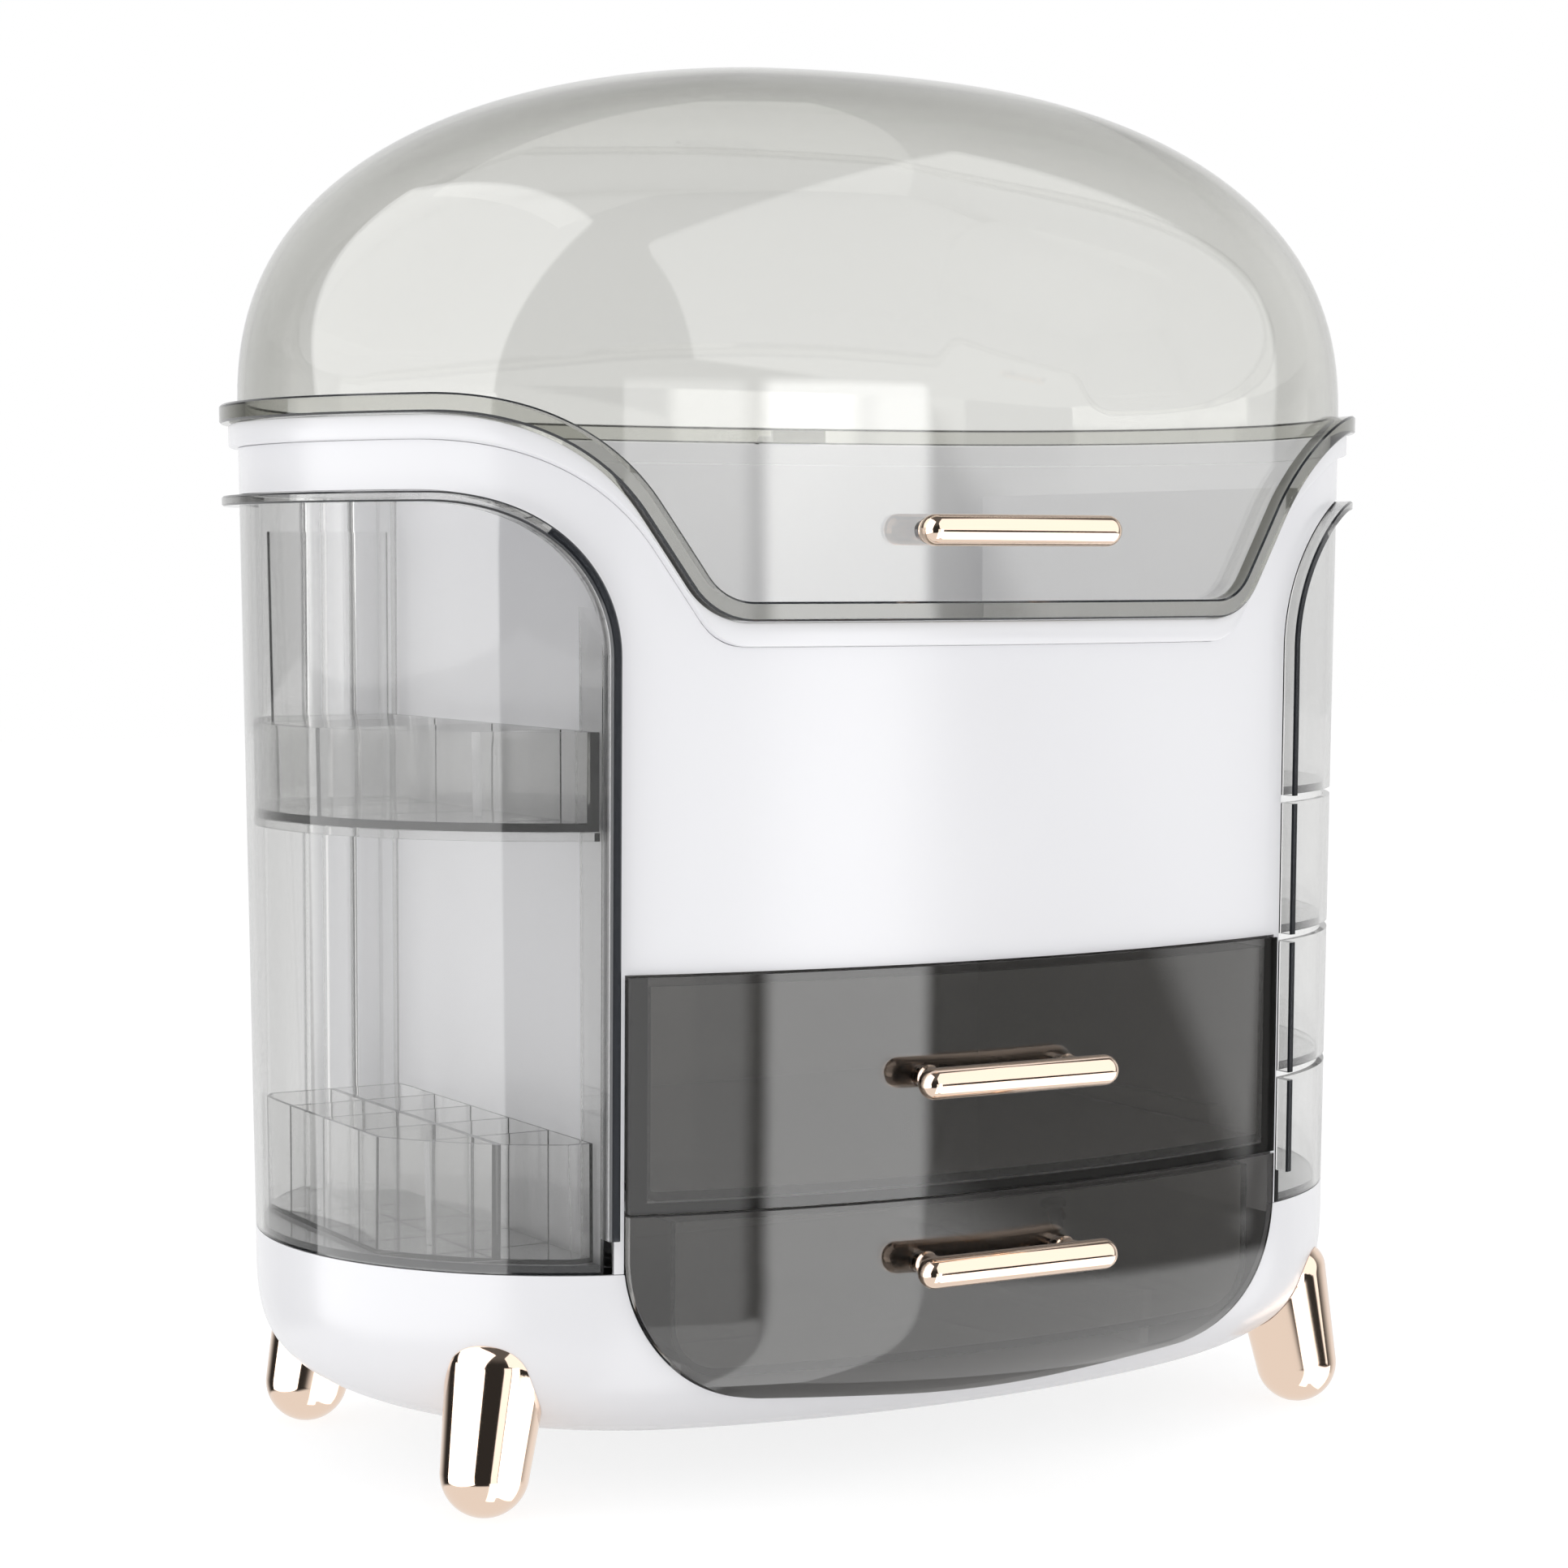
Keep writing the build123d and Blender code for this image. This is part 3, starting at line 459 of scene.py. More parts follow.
def body_shell():
    """White shell in sheets that meet where its openings start; its inner sheet lies behind the outer."""
    low = BOWL_TOP + SEAM
    up = np.linspace(0, 1, 24)[:, None]

    def top(x, y):
        """Height of the raised band's foot, the shell's top, over a place."""
        return rim_line(x, y, 0, COLLAR_LOW)

    def panel(grow):
        """Front panel: columns of equal X, rows from the opening to the rim."""
        x = np.concatenate([[-BAY_X], np.linspace(-OPENING_HALF, OPENING_HALF, 121), [BAY_X]])[None, :]
        lower = OPENING_TOP + up * (ARCH_Z - OPENING_TOP) + 0 * x
        upper = ARCH_Z + up[1:] * (top(x, -1) - ARCH_Z)
        return front(x, np.concatenate([lower, upper]), grow)

    def post(grow, side):
        """Post between the drawers and a bay."""
        x = side * np.array([[OPENING_HALF, BAY_X]])
        return front(x, np.linspace(low, OPENING_TOP, 30)[:, None], grow)

    def band(grow, side):
        """Band above an arch: columns by the arch's angle, rows from the arch to the rim."""
        t = np.linspace(0, pi / 2, 41)[None, :]
        x = side * (ARCH_X - ARCH_R * np.cos(t))
        base = ARCH_Z + ARCH_R * np.sin(t)
        return front(x, base + up * (top(x, -1) - base), grow)

    def end_band(grow, side):
        """Level band round an end of the oval, from the arch to the bay's heel: the start and the end are
        bearings at each height, and the columns lie evenly between them."""
        t = np.linspace(0, 1, 61)[None, :]
        z = BAY_TOP + up * (top(ARCH_X, -1) - BAY_TOP) + 0 * t
        for _ in range(6):
            start = facing(ARCH_X, z, grow)
            p = around(start + t * (heel_bearing(z, grow, HEEL_R) - start), z, grow)
            z = BAY_TOP + up * (top(p[..., 0], p[..., 1]) - BAY_TOP)
        return p * np.array([side, 1, 1])

    def rear(grow):
        """Rear panel between the heels of the two bays."""
        t = np.linspace(0, 1, 181)[None, :]
        z = np.concatenate([
            np.linspace(low, BAY_TOP, 30)[:, None] + 0 * t,
            BAY_TOP + up[1:] * (RIM_HIGH - COLLAR_LOW - BAY_TOP) + 0 * t,
        ])
        start = heel_bearing(z, grow, HEEL_R)
        return around(start + t * (pi - 2 * start), z, grow)

    makers = [panel, rear]
    for side in (-1, 1):
        for part in (post, band, end_band):
            makers.append(lambda grow, part=part, side=side: part(grow, side))
    return slab([paired(maker, SHELL_WALL) for maker in makers])


def rim_collar():
    """Raised band: a profile of growth and rim line, with eased edges, carried round all bearings."""
    top = COLLAR_GAP + LID_FLANGE
    foot = COLLAR_LOW - SEAM
    eased = COLLAR_PROUD - COLLAR_EASE
    corner = COLLAR_PROUD - COLLAR_CORNER
    profile = [
        (-SHELL_WALL, top, 0), (eased, top, 0), (corner, top + COLLAR_CORNER, 0),
        (COLLAR_PROUD, top + COLLAR_EASE, 0), (COLLAR_PROUD, 0, foot - COLLAR_EASE),
        (corner, 0, foot - COLLAR_CORNER), (eased, 0, foot), (-SHELL_WALL, 0, foot), (-SHELL_WALL, top, 0),
    ]
    bearings = even_bearings(640)
    return join_grids([np.stack([rim_point(bearings, *row) for row in profile])])


def mouth_corner(gap):
    """Lower corner of the drawer's mouth: middle of its arc, its radius, and the angle of the edge below."""
    slope = (MOUTH_SIDE - MOUTH_MIDDLE) / OPENING_HALF
    radius = MOUTH_R - gap
    x = OPENING_HALF - gap - radius
    return x, MOUTH_MIDDLE + gap + slope * x + radius * sqrt(1 + slope ** 2), radius, np.arctan(slope)


def mouth_edge(x, gap):
    """Height of the mouth's lower edge over an X: two gentle slopes joined by a wide arc."""
    tilt = mouth_corner(gap)[3]
    base = MOUTH_MIDDLE + gap
    reach = MOUTH_SAG_R * np.sin(tilt)
    middle = base + np.tan(tilt) * reach + MOUTH_SAG_R * np.cos(tilt)
    arc = middle - np.sqrt(MOUTH_SAG_R ** 2 - np.minimum(np.abs(x), reach) ** 2)
    return np.where(np.abs(x) > reach, base + np.tan(tilt) * np.abs(x), arc)


def base_bowl():
    """Bowl: each column starts on the drawer's mouth or on the bowl's top edge, goes down the superellipse
    at one bearing, and ends in the middle of the flat bottom."""
    x, z, radius, tilt = mouth_corner(0)
    turn = np.linspace(np.arcsin((BOWL_TOP - z) / radius), tilt - pi / 2, 34)
    right = x + radius * np.cos(turn), z + radius * np.sin(turn)
    middle = np.linspace(right[0][-1], -right[0][-1], 71)[1:-1]
    edge_x = np.concatenate([right[0], middle, -right[0][::-1]])
    edge_z = np.concatenate([right[1], mouth_edge(middle, 0), right[1][::-1]])

    def sheet(grow):
        """One side of the bowl's wall: the rows go down evenly and then inwards on the flat bottom."""
        mouth = facing(edge_x, edge_z, grow)
        rest = np.linspace(mouth[-1], mouth[0] - 2 * pi, 300)[1:]
        bearing = np.concatenate([mouth, rest])[None, :]
        start = np.concatenate([edge_z, np.full(len(rest), BOWL_TOP)])[None, :]
        floor = BOWL_BOTTOM - grow
        side = around(bearing, start + np.linspace(0, 1, 30)[:, None] * (floor - start), grow)
        inwards = np.linspace(1, 0, 8)[1:, None, None]
        bottom = side[-1][None] * inwards
        bottom[..., 2] = floor
        return np.concatenate([side, bottom])

    return slab([paired(sheet, SHELL_WALL)])


# Lid

def lid_dome():
    """Clear lid: one profile from the dome's inner pole down its inner wall, round the flange and up its
    outer wall to the outer pole, carried round all bearings. The dome is the oval scaled by the cosine and
    raised by the sine of an angle, each to the power 2 / DOME_POWER."""
    bearings = even_bearings(600)
    dome_rows, wall_rows = 45, 16
    angle = np.linspace(0, pi / 2, dome_rows)[:, None]

    def dome(grow):
        """One side of the dome, from its foot to its pole."""
        x, y = oval(bearings[None, :], grow + (RIM_HIGH - BOWL_TOP) * LEAN)
        scale = np.cos(angle) ** (2 / DOME_POWER)
        scale[-1] = 0
        rise = np.sin(angle) ** (2 / DOME_POWER)
        return stack(x * scale, y * scale, RIM_HIGH + (DOME_HEIGHT + grow) * rise)

    def wall(grow, inset):
        """One side of the lid's wall, evenly from the rim up to the dome's foot."""
        foot = rim_point(bearings, grow, inset)
        z = foot[None, :, 2] + np.linspace(0, 1, wall_rows)[:, None] * (RIM_HIGH - foot[None, :, 2])
        return around(bearings[None, :], z, grow)

    eased = LID_FLANGE - LID_EASE
    flange = [(eased, LID_FLANGE), (LID_FLANGE, eased), (LID_FLANGE, LID_EASE), (eased, 0)]
    rows = [dome(-CLEAR_WALL)[::-1], wall(-CLEAR_WALL, LID_FLANGE)[::-1][1:]]
    rows.append(np.stack([rim_point(bearings, grow, inset) for grow, inset in flange]))
    rows.extend([wall(0, 0), dome(0)[1:]])
    points, faces = join_grids([np.concatenate(rows)])[:2]
    kinds = np.zeros(sum(len(row) for row in rows) - 1, int)
    first = dome_rows + wall_rows - 1
    kinds[[first, first + 2]] = EDGE    # the flange's eased edges, with painted shade
    return points, faces, np.repeat(kinds, len(bearings) - 1)


# Drawers

def section(half, low, top, radius):
    """X and Z of a drawer's section as a grid: rows down its side and round its lower corner, columns
    across, so that the last row is the flat bottom."""
    turn = np.linspace(0, pi / 2, 11)[1:]
    x = np.concatenate([np.full(6, half), half - radius + radius * np.cos(turn)])[:, None]
    z = np.concatenate([np.linspace(top, low + radius, 6), low + radius - radius * np.sin(turn)])[:, None]
    across = np.linspace(-1, 1, 61)[None, :]
    return x * across, z + 0 * across


def drawer_box(half, low, top, radius):
    """Open box behind a drawer's face: its section runs back from the curved face to a flat rear, and
    the same is done for its hollow, with a rim between the two."""
    back = FACE_PROUD - FACE_T - TOUCH
    x, z = section(half, low, top, radius)
    hollow_x, hollow_z = section(half - CLEAR_WALL, low + FLOOR_T, top, radius - CLEAR_WALL)
    near = front(x, z, back)
    far = stack(x, DRAWER_REAR, z)
    near_in = front(hollow_x, hollow_z, back - CLEAR_WALL)
    far_in = stack(hollow_x, DRAWER_REAR - CLEAR_WALL, hollow_z)

    def edge(grid):
        """The grid's outline but for its top: down one side, along the bottom and up the other."""
        return np.concatenate([grid[:, 0], grid[-1, 1:-1], grid[::-1, -1]])

    walls = [near, far, near_in, far_in]
    walls += [np.stack([edge(near), edge(far)]), np.stack([edge(near_in), edge(far_in)])]
    rims = [np.stack([near[0], near_in[0]]), np.stack([far[0], far_in[0]])]
    for i in (0, -1):
        rims.append(np.array([[near[0, i], far[0, i]], [near_in[0, i], far_in[0, i]]]))
    # the rims get the edge finish's painted shade
    return join_grids(walls + rims, rims=range(len(walls), len(walls) + len(rims)))


def upper_drawer():
    """Upper drawer: a face that follows the wall's curve, and its box. The face's inner side gets painted
    shade where it reaches past the box, as edges do."""
    x = np.linspace(-FACE_HALF, FACE_HALF, 121)[None, :]
    z = np.linspace(UPPER_FACE_LOW, OPENING_TOP - FACE_GAP, 24)[:, None]
    # the face's thin edges get the edge finish's painted shade
    points, faces, kinds = slab([(front(x, z, FACE_PROUD), front(x, z, FACE_PROUD - FACE_T))], rim=EDGE)
    # painted shade on the face's inner side where it reaches past the box
    beside = (np.abs(x[:, 1:] + x[:, :-1]) / 2 > UPPER_BOX_HALF) | (z[1:] < UPPER_BOX_LOW)
    kinds[beside.size:2 * beside.size] = np.where(beside, EDGE, 0).reshape(-1)
    box = drawer_box(UPPER_BOX_HALF, UPPER_BOX_LOW, UPPER_BOX_TOP, UPPER_BOX_R)
    return merge([(points, faces, kinds), box])


def lower_drawer():
    """Lower drawer: a face that goes on the bowl's round, its rows following the mouth's corners and sagging
    edge, and its box."""
    x, z, radius, tilt = mouth_corner(FACE_GAP)
    turn = np.linspace(0, pi / 2 - tilt, 34)
    half = np.concatenate([np.full(5, FACE_HALF), x + radius * np.cos(turn)])[:, None]
    height = np.concatenate([np.linspace(LOWER_FACE_TOP, z, 6)[:-1], z - radius * np.sin(turn)])[:, None]
    across = np.linspace(-1, 1, 121)[None, :]
    weight = np.concatenate([np.zeros(5), (np.sin(turn) / np.sin(turn[-1])) ** 3])[:, None]
    height = height + weight * (mouth_edge(half[-1] * across, FACE_GAP) - height[-1])
    x = half * across
    face = slab([(front(x, height, FACE_PROUD), front(x, height, FACE_PROUD - FACE_T))], rim=EDGE)
    return merge([face, drawer_box(LOWER_BOX_HALF, LOWER_BOX_LOW, LOWER_BOX_TOP, LOWER_BOX_R)])


# Swinging pieces

def bay_wall(inset, low, high, arch, inner):
    """Wall of a piece in the right bay, inset from its outside, as a grid: columns go from the inner side
    to the front corner, along the oval to the heel, round the heel's circle and to the rear corner, and
    rows go up to a level or to the arch. inner lists the Y values of the columns on the inner side."""
    t = np.linspace(0, 1, 20 if arch else 3)[:, None]
    near = BAY_X + SWING_GAP + inset
    rear = PIVOT_Y - SWING_GAP - inset
    heel = HEEL_R - SWING_GAP - inset
    radius = ARCH_R - SWING_GAP
    level = BAY_TOP - SWING_GAP if arch else high

    def roof(x):
        """Top of the wall over an X in front: the arch's circle, or the level."""
        if not arch:
            return np.full_like(x, high)
        return ARCH_Z + np.sqrt(np.maximum(radius ** 2 - (ARCH_X - x) ** 2, 0))

    def rows(top):
        """Heights of the rows, evenly up to a top."""
        return low + t * (top - low)

    parts = []
    if inner:
        side_y = np.array([inner])
        parts.append(stack(near, side_y, rows(roof(np.full_like(side_y, near)))))
    a = np.linspace(0, pi / 2, 27)[None, :]
    x = ARCH_X - (radius - inset) * np.cos(a)
    parts.append(front(x, rows(roof(x)), -inset))
    u = np.linspace(0, 1, 61)[None, 1:]
    z = rows(level + 0 * u)
    start = facing(ARCH_X, z, -inset)
    end = heel_bearing(z, -inset, heel)
    parts.append(around(start + u * (end - start), z, -inset))
    corner = parts[-1][:, -1:]
    first = np.arctan2(corner[..., 1] - PIVOT_Y, corner[..., 0] - PIVOT_X)
    last = pi + np.arcsin((PIVOT_Y - rear) / heel)
    v = np.linspace(0, 1, 25)[None, 1:]
    phi = first + v * (last - first)
    parts.append(stack(PIVOT_X + heel * np.cos(phi), PIVOT_Y + heel * np.sin(phi), rows(level + 0 * v)))
    parts.append(stack(near, rear, rows(np.array([[level]]))))
    return parts


def side_wall(low, high, arch, open_side):
    """Clear wall of a swinging piece: closed all round, or open on its inner side between the strip at the
    front and the heel. The heel's own wall is a second shape, a hair apart."""
    outside, heel = [], []
    for inset in (0.0, CLEAR_WALL):
        front_y = STRIP_Y if open_side else PIVOT_Y - SWING_GAP - inset
        parts = bay_wall(inset, low, high, arch, [front_y])
        heel_part = [parts[-2][:, 1:], parts[-1]]
        if open_side:
            last = parts[-1].copy()
            last[..., 1] = HEEL_Y
            heel_part.append(last)
        outside.append(np.concatenate(parts[:-2], axis=1))
        heel.append(np.concatenate(heel_part, axis=1))
    # the thin edges of a wall without an arch get the edge finish's painted shade
    wall = slab([outside], rim=0 if arch else EDGE)
    return merge([wall, plain(slab([heel]))])


def inner_wall(low, high):
    """Flat wall between the strip and the heel on the inner side of the top tray."""
    y = np.array([[STRIP_Y + TOUCH, HEEL_Y - TOUCH]])
    z = np.array([[low], [high]])
    near = BAY_X + SWING_GAP
    # the wall's thin edges get the edge finish's painted shade
    return slab([(stack(near, y, z), stack(near + CLEAR_WALL, y, z))], rim=EDGE)


def side_floor(low, high):
    """Floor inside a swinging piece's wall."""
    inset = CLEAR_WALL + TOUCH
    parts = bay_wall(inset, low, high, False, [])
    loop = np.concatenate(parts, axis=1)
    # the floor's edge gets the edge finish's painted shade
    return tube(np.stack([loop[0], loop[-1]]), rim=EDGE)


def rod_sleeve(low, high):
    """Sleeve about the swing rod: two circles run up between its ends."""
    angle = np.linspace(0, 2 * pi, 33)[None, :]
    z = np.array([[low], [high]])
    sheets = []
    for r in (SLEEVE_R, SLEEVE_BORE):
        sheets.append(stack(PIVOT_X + r * np.cos(angle), PIVOT_Y + r * np.sin(angle), z))
    return plain(slab([sheets]))


def blade(low, high, arch):
    """Flange on the front edge: a section of growth and inset, with eased corners, carried up the edge and,
    with an arch, round its quarter circle and level round the end to its stop near the rod. The eased
    corners get painted shade, and so does the outer face on its first rows, which end past the middle of
    the arch."""
    out, back = BLADE_PROUD - BLADE_EASE, BLADE_T - BLADE_EASE
    corners = [
        (TOUCH, 0), (out, 0), (BLADE_PROUD, BLADE_EASE), (BLADE_PROUD, back), (out, BLADE_T),
        (TOUCH, BLADE_T),
    ]
    lines = []
    for grow, inset in corners:
        near = BAY_X + SWING_GAP + inset
        radius = ARCH_R - SWING_GAP - inset
        z = np.linspace(low, ARCH_Z if arch else high, 24)
        path = [front(np.full_like(z, near), z, grow)]
        if arch:
            a = np.linspace(0, pi / 2, 41)[1:]
            path.append(front(ARCH_X - radius * np.cos(a), ARCH_Z + radius * np.sin(a), grow))
            u = np.linspace(0, 1, 81)[1:]
            z = np.full_like(u, BAY_TOP - SWING_GAP - inset)
            start = facing(ARCH_X, z, grow)
            stop = 2 * PIVOT_BEARING - heel_bearing(z, grow, BLADE_STOP)
            path.append(around(start + u * (stop - start), z, grow))
        lines.append(np.concatenate(path))
    rings = np.stack(lines, axis=1)
    points, faces, kinds = tube(rings)
    corner = np.tile(np.arange(len(corners)), len(rings) - 1)
    # painted shade on the eased corners and on the outer face's first rows
    outer = (corner == 2) & (np.arange(len(corner)) < BLADE_PAINTED_SHADE_ROWS * len(corners))
    kinds[:len(corner)] = np.where(np.isin(corner, (1, 3)) | outer, EDGE, 0)
    return points, faces, kinds


def shelf_ledge():
    """Ledge inside the left cabinet that carries its tray: a band under the tray along the wall."""
    t = np.linspace(0, 1, 100)
    near = -CLEAR_WALL - TOUCH
    lines = []
    for grow, z in (
        (near, LEDGE_LOW), (near, LEDGE_TOP), (-LEDGE_DEPTH, LEDGE_TOP), (-LEDGE_DEPTH, LEDGE_LOW),
    ):
        start = facing(np.array(LEDGE_X), np.array(z), grow)
        lines.append(around(start + t * (LEDGE_STOP - start), np.full_like(t, z), grow))
    return tube(np.stack(lines, axis=1))


# Plated pieces

def handle(height, grow):
    """Bar handle: a round bar with half-ball ends, and two posts that widen a little where they meet the
    wall, each a circle carried along its axis."""
    around_bar = np.linspace(0, 2 * pi, 33)[None, :]
    bend = np.linspace(0, pi / 2, 9)
    half = HANDLE_LENGTH / 2 - HANDLE_R
    x = np.concatenate([-half - HANDLE_R * np.cos(bend), half + HANDLE_R * np.sin(bend)])[:, None]
    r = np.concatenate([HANDLE_R * np.sin(bend), HANDLE_R * np.cos(bend)])[:, None]
    bar = stack(x, HANDLE_Y + r * np.cos(around_bar), height + r * np.sin(around_bar))
    parts = [join_grids([bar])]
    for side in (-1, 1):
        post_x = side * POST_SPACING / 2
        seat = front(np.array(post_x), np.array(height), grow)[1]
        y = np.array([HANDLE_Y] + [seat - way for way, _ in POST_FLARE])[:, None]
        radius = POST_R + np.array([0] + [growth for _, growth in POST_FLARE])[:, None]
        angle = np.linspace(0, 2 * pi, 25)[None, :-1]
        parts.append(tube(stack(post_x + radius * np.cos(angle), y, height + radius * np.sin(angle))))
    return merge(parts)


def foot(side, way):
    """Foot: a ball at the tip, a cone above it and a rounded top edge, turned about an axis that leans
    inwards, each column cut where it meets the bowl, and the tip cut by the floor."""
    x, y = side * FOOT_X, way * FOOT_Y
    bearing = atan2(y, x)
    lean = radians(FOOT_SPLAY)
    axis = np.array([-cos(bearing) * sin(lean), -sin(bearing) * sin(lean), cos(lean)])
    cross = np.array([-sin(bearing), cos(bearing), 0])
    other = np.cross(axis, cross)
    tip = np.linspace(-pi / 2, 0, 15)
    slope = (FOOT_TOP_R - FOOT_TIP_R) / FOOT_LENGTH
    turn = np.linspace(0, pi / 2, 13)
    r_ball = FOOT_TIP_R * np.cos(tip)
    h_ball = FOOT_TIP_R * np.sin(tip)
    h_cone = np.linspace(0, FOOT_LENGTH - FOOT_ROUND, 16)[1:]
    r_cone = FOOT_TIP_R + slope * h_cone
    h_top = FOOT_LENGTH - FOOT_ROUND + FOOT_ROUND * np.sin(turn)[1:]
    r_top = r_cone[-1] - FOOT_ROUND + FOOT_ROUND * np.cos(turn)[1:]
    r_in = np.linspace(r_top[-1], 0, 8)[1:]
    r = np.concatenate([r_ball, r_cone, r_top, r_in])
    h = np.concatenate([h_ball, h_cone, h_top, np.full(len(r_in), FOOT_LENGTH)])
    s = np.concatenate([[0], np.cumsum(np.hypot(np.diff(r), np.diff(h)))])
    angle = np.linspace(0, 2 * pi, 65)[None, :]
    spread = np.cos(angle)[..., None] * cross + np.sin(angle)[..., None] * other
    base = np.array([x, y, FOOT_TIP_R - FOOT_FLAT])

    def at(length):
        """Point at a length along the profile."""
        return base + np.interp(length, s, h)[..., None] * axis + np.interp(length, s, r)[..., None] * spread

    def inside(p):
        """Whether a point lies within the bowl, grown by a seam."""
        scale, g = body_scale(np.maximum(p[..., 2], BOWL_BOTTOM), SEAM)
        u, v = p[..., 0] / scale, p[..., 1] / scale
        end = np.hypot(np.abs(u) - END_CENTRE, v) - END_R - g
        long_side = np.hypot(u, np.abs(v) + SIDE_CENTRE) - SIDE_R - g
        return np.where(np.abs(u) > (SIDE_R + g) * cos(TURN), end, long_side) < 0

    ball = len(tip) - 1
    start, last = s[ball], s[-1] - FOOT_POLE
    length = np.linspace(start, last, 400)[:, None] + 0 * angle
    hit = inside(at(length))
    found = hit.any(axis=0)
    cut = np.where(found, length[np.argmax(hit, axis=0), 0], last)
    t = np.linspace(0, 1, 40)[:, None]
    rows = np.repeat(s[:ball, None], angle.shape[1], axis=1)
    grid = at(np.concatenate([rows, start + t * (cut[None, :] - start)]))
    grid[..., 2] = np.maximum(grid[..., 2], 0)
    middle = grid[-1, :-1].mean(axis=0)
    cap = np.stack([grid[-1], np.repeat(middle[None], grid.shape[1], axis=0)])
    return join_grids([grid, cap])


# Finishes

def linear(code):
    """Linear colour of an sRGB hex value."""
    share = np.array([int(code[i:i + 2], 16) for i in (0, 2, 4)]) / 255
    light = np.where(share <= 0.04045, share / 12.92, ((share + 0.055) / 1.055) ** 2.4)
    return (*light.tolist(), 1.0)


def add(tree, kind, inputs=None, **settings):
    """One node: settings go to its attributes or its sockets, and inputs are other nodes' sockets or
    values for the sockets that they are named after."""
    node = tree.nodes.new("ShaderNode" + kind)
    for key, value in settings.items():
        if hasattr(node, key):
            setattr(node, key, value)
        else:
            node.inputs[key.replace("_", " ")].default_value = value
    for key, source in (inputs or {}).items():
        if isinstance(source, bpy.types.NodeSocket):
            tree.links.new(source, node.inputs[key])
        else:
            node.inputs[key].default_value = source
    return node


def new_finish(name):
    """Empty material with its output node."""
    material = bpy.data.materials.new(name)
    material.use_nodes = True
    material.node_tree.nodes.clear()
    return material, material.node_tree, add(material.node_tree, "OutputMaterial")


def moulded_white_abs():
    """White ABS from a polished mould: an even white with a soft gloss, and the very faint flow of the
    melt in its surface."""
    material, tree, out = new_finish("moulded_white_abs")
    place = add(tree, "TexCoord")
    flow = add(tree, "TexNoise", {"Vector": place.outputs["Object"]}, Scale=1 / (40 * MM), Detail=2.0)
    gloss = add(tree, "MapRange", {"Value": flow.outputs["Fac"]}, To_Min=0.2, To_Max=0.26)
    bump = add(tree, "Bump", {"Height": flow.outputs["Fac"]}, Strength=0.05, Distance=0.4 * MM)
    plastic = add(
        tree, "BsdfPrincipled", {"Roughness": gloss.outputs["Result"], "Normal": bump.outputs["Normal"]},
        Base_Color=linear("F3F3F6"), IOR=1.53,
    )
    tree.links.new(plastic.outputs[0], out.inputs["Surface"])
    return material


def powder_coat():
    """White powder coat on the two steel rods: matt, with the fine orange peel of the melted powder."""
    material, tree, out = new_finish("white_powder_coat")
    place = add(tree, "TexCoord")
    peel = add(tree, "TexNoise", {"Vector": place.outputs["Object"]}, Scale=1 / (0.8 * MM), Detail=1.0)
    bump = add(tree, "Bump", {"Height": peel.outputs["Fac"]}, Strength=0.2, Distance=0.05 * MM)
    coat = add(
        tree, "BsdfPrincipled", {"Normal": bump.outputs["Normal"]},
        Base_Color=linear("F1F1F2"), Roughness=0.5,
    )
    tree.links.new(coat.outputs[0], out.inputs["Surface"])
    return material


def clear_styrene(name, tint, density):
    """Tinted clear styrene: polished faces with the faint flow of the melt, and a tint that deepens with
    the length of the way through."""
    material, tree, out = new_finish(name)
    place = add(tree, "TexCoord")
    flow = add(tree, "TexNoise", {"Vector": place.outputs["Object"]}, Scale=1 / (50 * MM), Detail=1.0)
    bump = add(tree, "Bump", {"Height": flow.outputs["Fac"]}, Strength=0.3, Distance=0.2 * MM)
    plastic = add(
        tree, "BsdfPrincipled", {"Normal": bump.outputs["Normal"]},
        Base_Color=(1, 1, 1, 1), Roughness=0.02, IOR=1.57, Transmission_Weight=1.0,
    )
    tree.links.new(plastic.outputs[0], out.inputs["Surface"])
    smoke = add(tree, "VolumeAbsorption", Color=linear(tint), Density=density)
    tree.links.new(smoke.outputs[0], out.inputs["Volume"])
    return material


def shaded_edge(name, code, clear):
    """Painted shade for the narrow edges of the clear mouldings: a nearly black colour for how the eye
    sees them, because light that enters them is led away along the wall."""
    material, tree, out = new_finish(name)
    place = add(tree, "TexCoord")
    cut = add(tree, "TexNoise", {"Vector": place.outputs["Object"]}, Scale=1 / (6 * MM), Detail=2.0)
    gloss = add(tree, "MapRange", {"Value": cut.outputs["Fac"]}, To_Min=0.08, To_Max=0.17)
    plastic = add(
        tree, "BsdfPrincipled", {"Roughness": gloss.outputs["Result"]},
        Base_Color=linear(code), IOR=1.57, Transmission_Weight=clear,
    )
    tree.links.new(plastic.outputs[0], out.inputs["Surface"])
    return material


def plated(name, code, rough):
    """Plated metal: polished, with the faint waviness of the part under the plating."""
    material, tree, out = new_finish(name)
    place = add(tree, "TexCoord")
    wave = add(tree, "TexNoise", {"Vector": place.outputs["Object"]}, Scale=1 / (12 * MM), Detail=1.0)
    bump = add(tree, "Bump", {"Height": wave.outputs["Fac"]}, Strength=0.05, Distance=0.3 * MM)
    metal = add(
        tree, "BsdfPrincipled", {"Normal": bump.outputs["Normal"]},
        Base_Color=linear(code), Metallic=1.0, Roughness=rough,
    )
    tree.links.new(metal.outputs[0], out.inputs["Surface"])
    return material


white = moulded_white_abs()
dome_smoke = clear_styrene("light_smoke_styrene", "BEBEB4", 165)
side_smoke = clear_styrene("side_smoke_styrene", "C4C4C2", 140)
side_clear = clear_styrene("side_clear_styrene", "F0F0EE", 60)
drawer_smoke = clear_styrene("dark_smoke_styrene", "C0BEBB", 360)
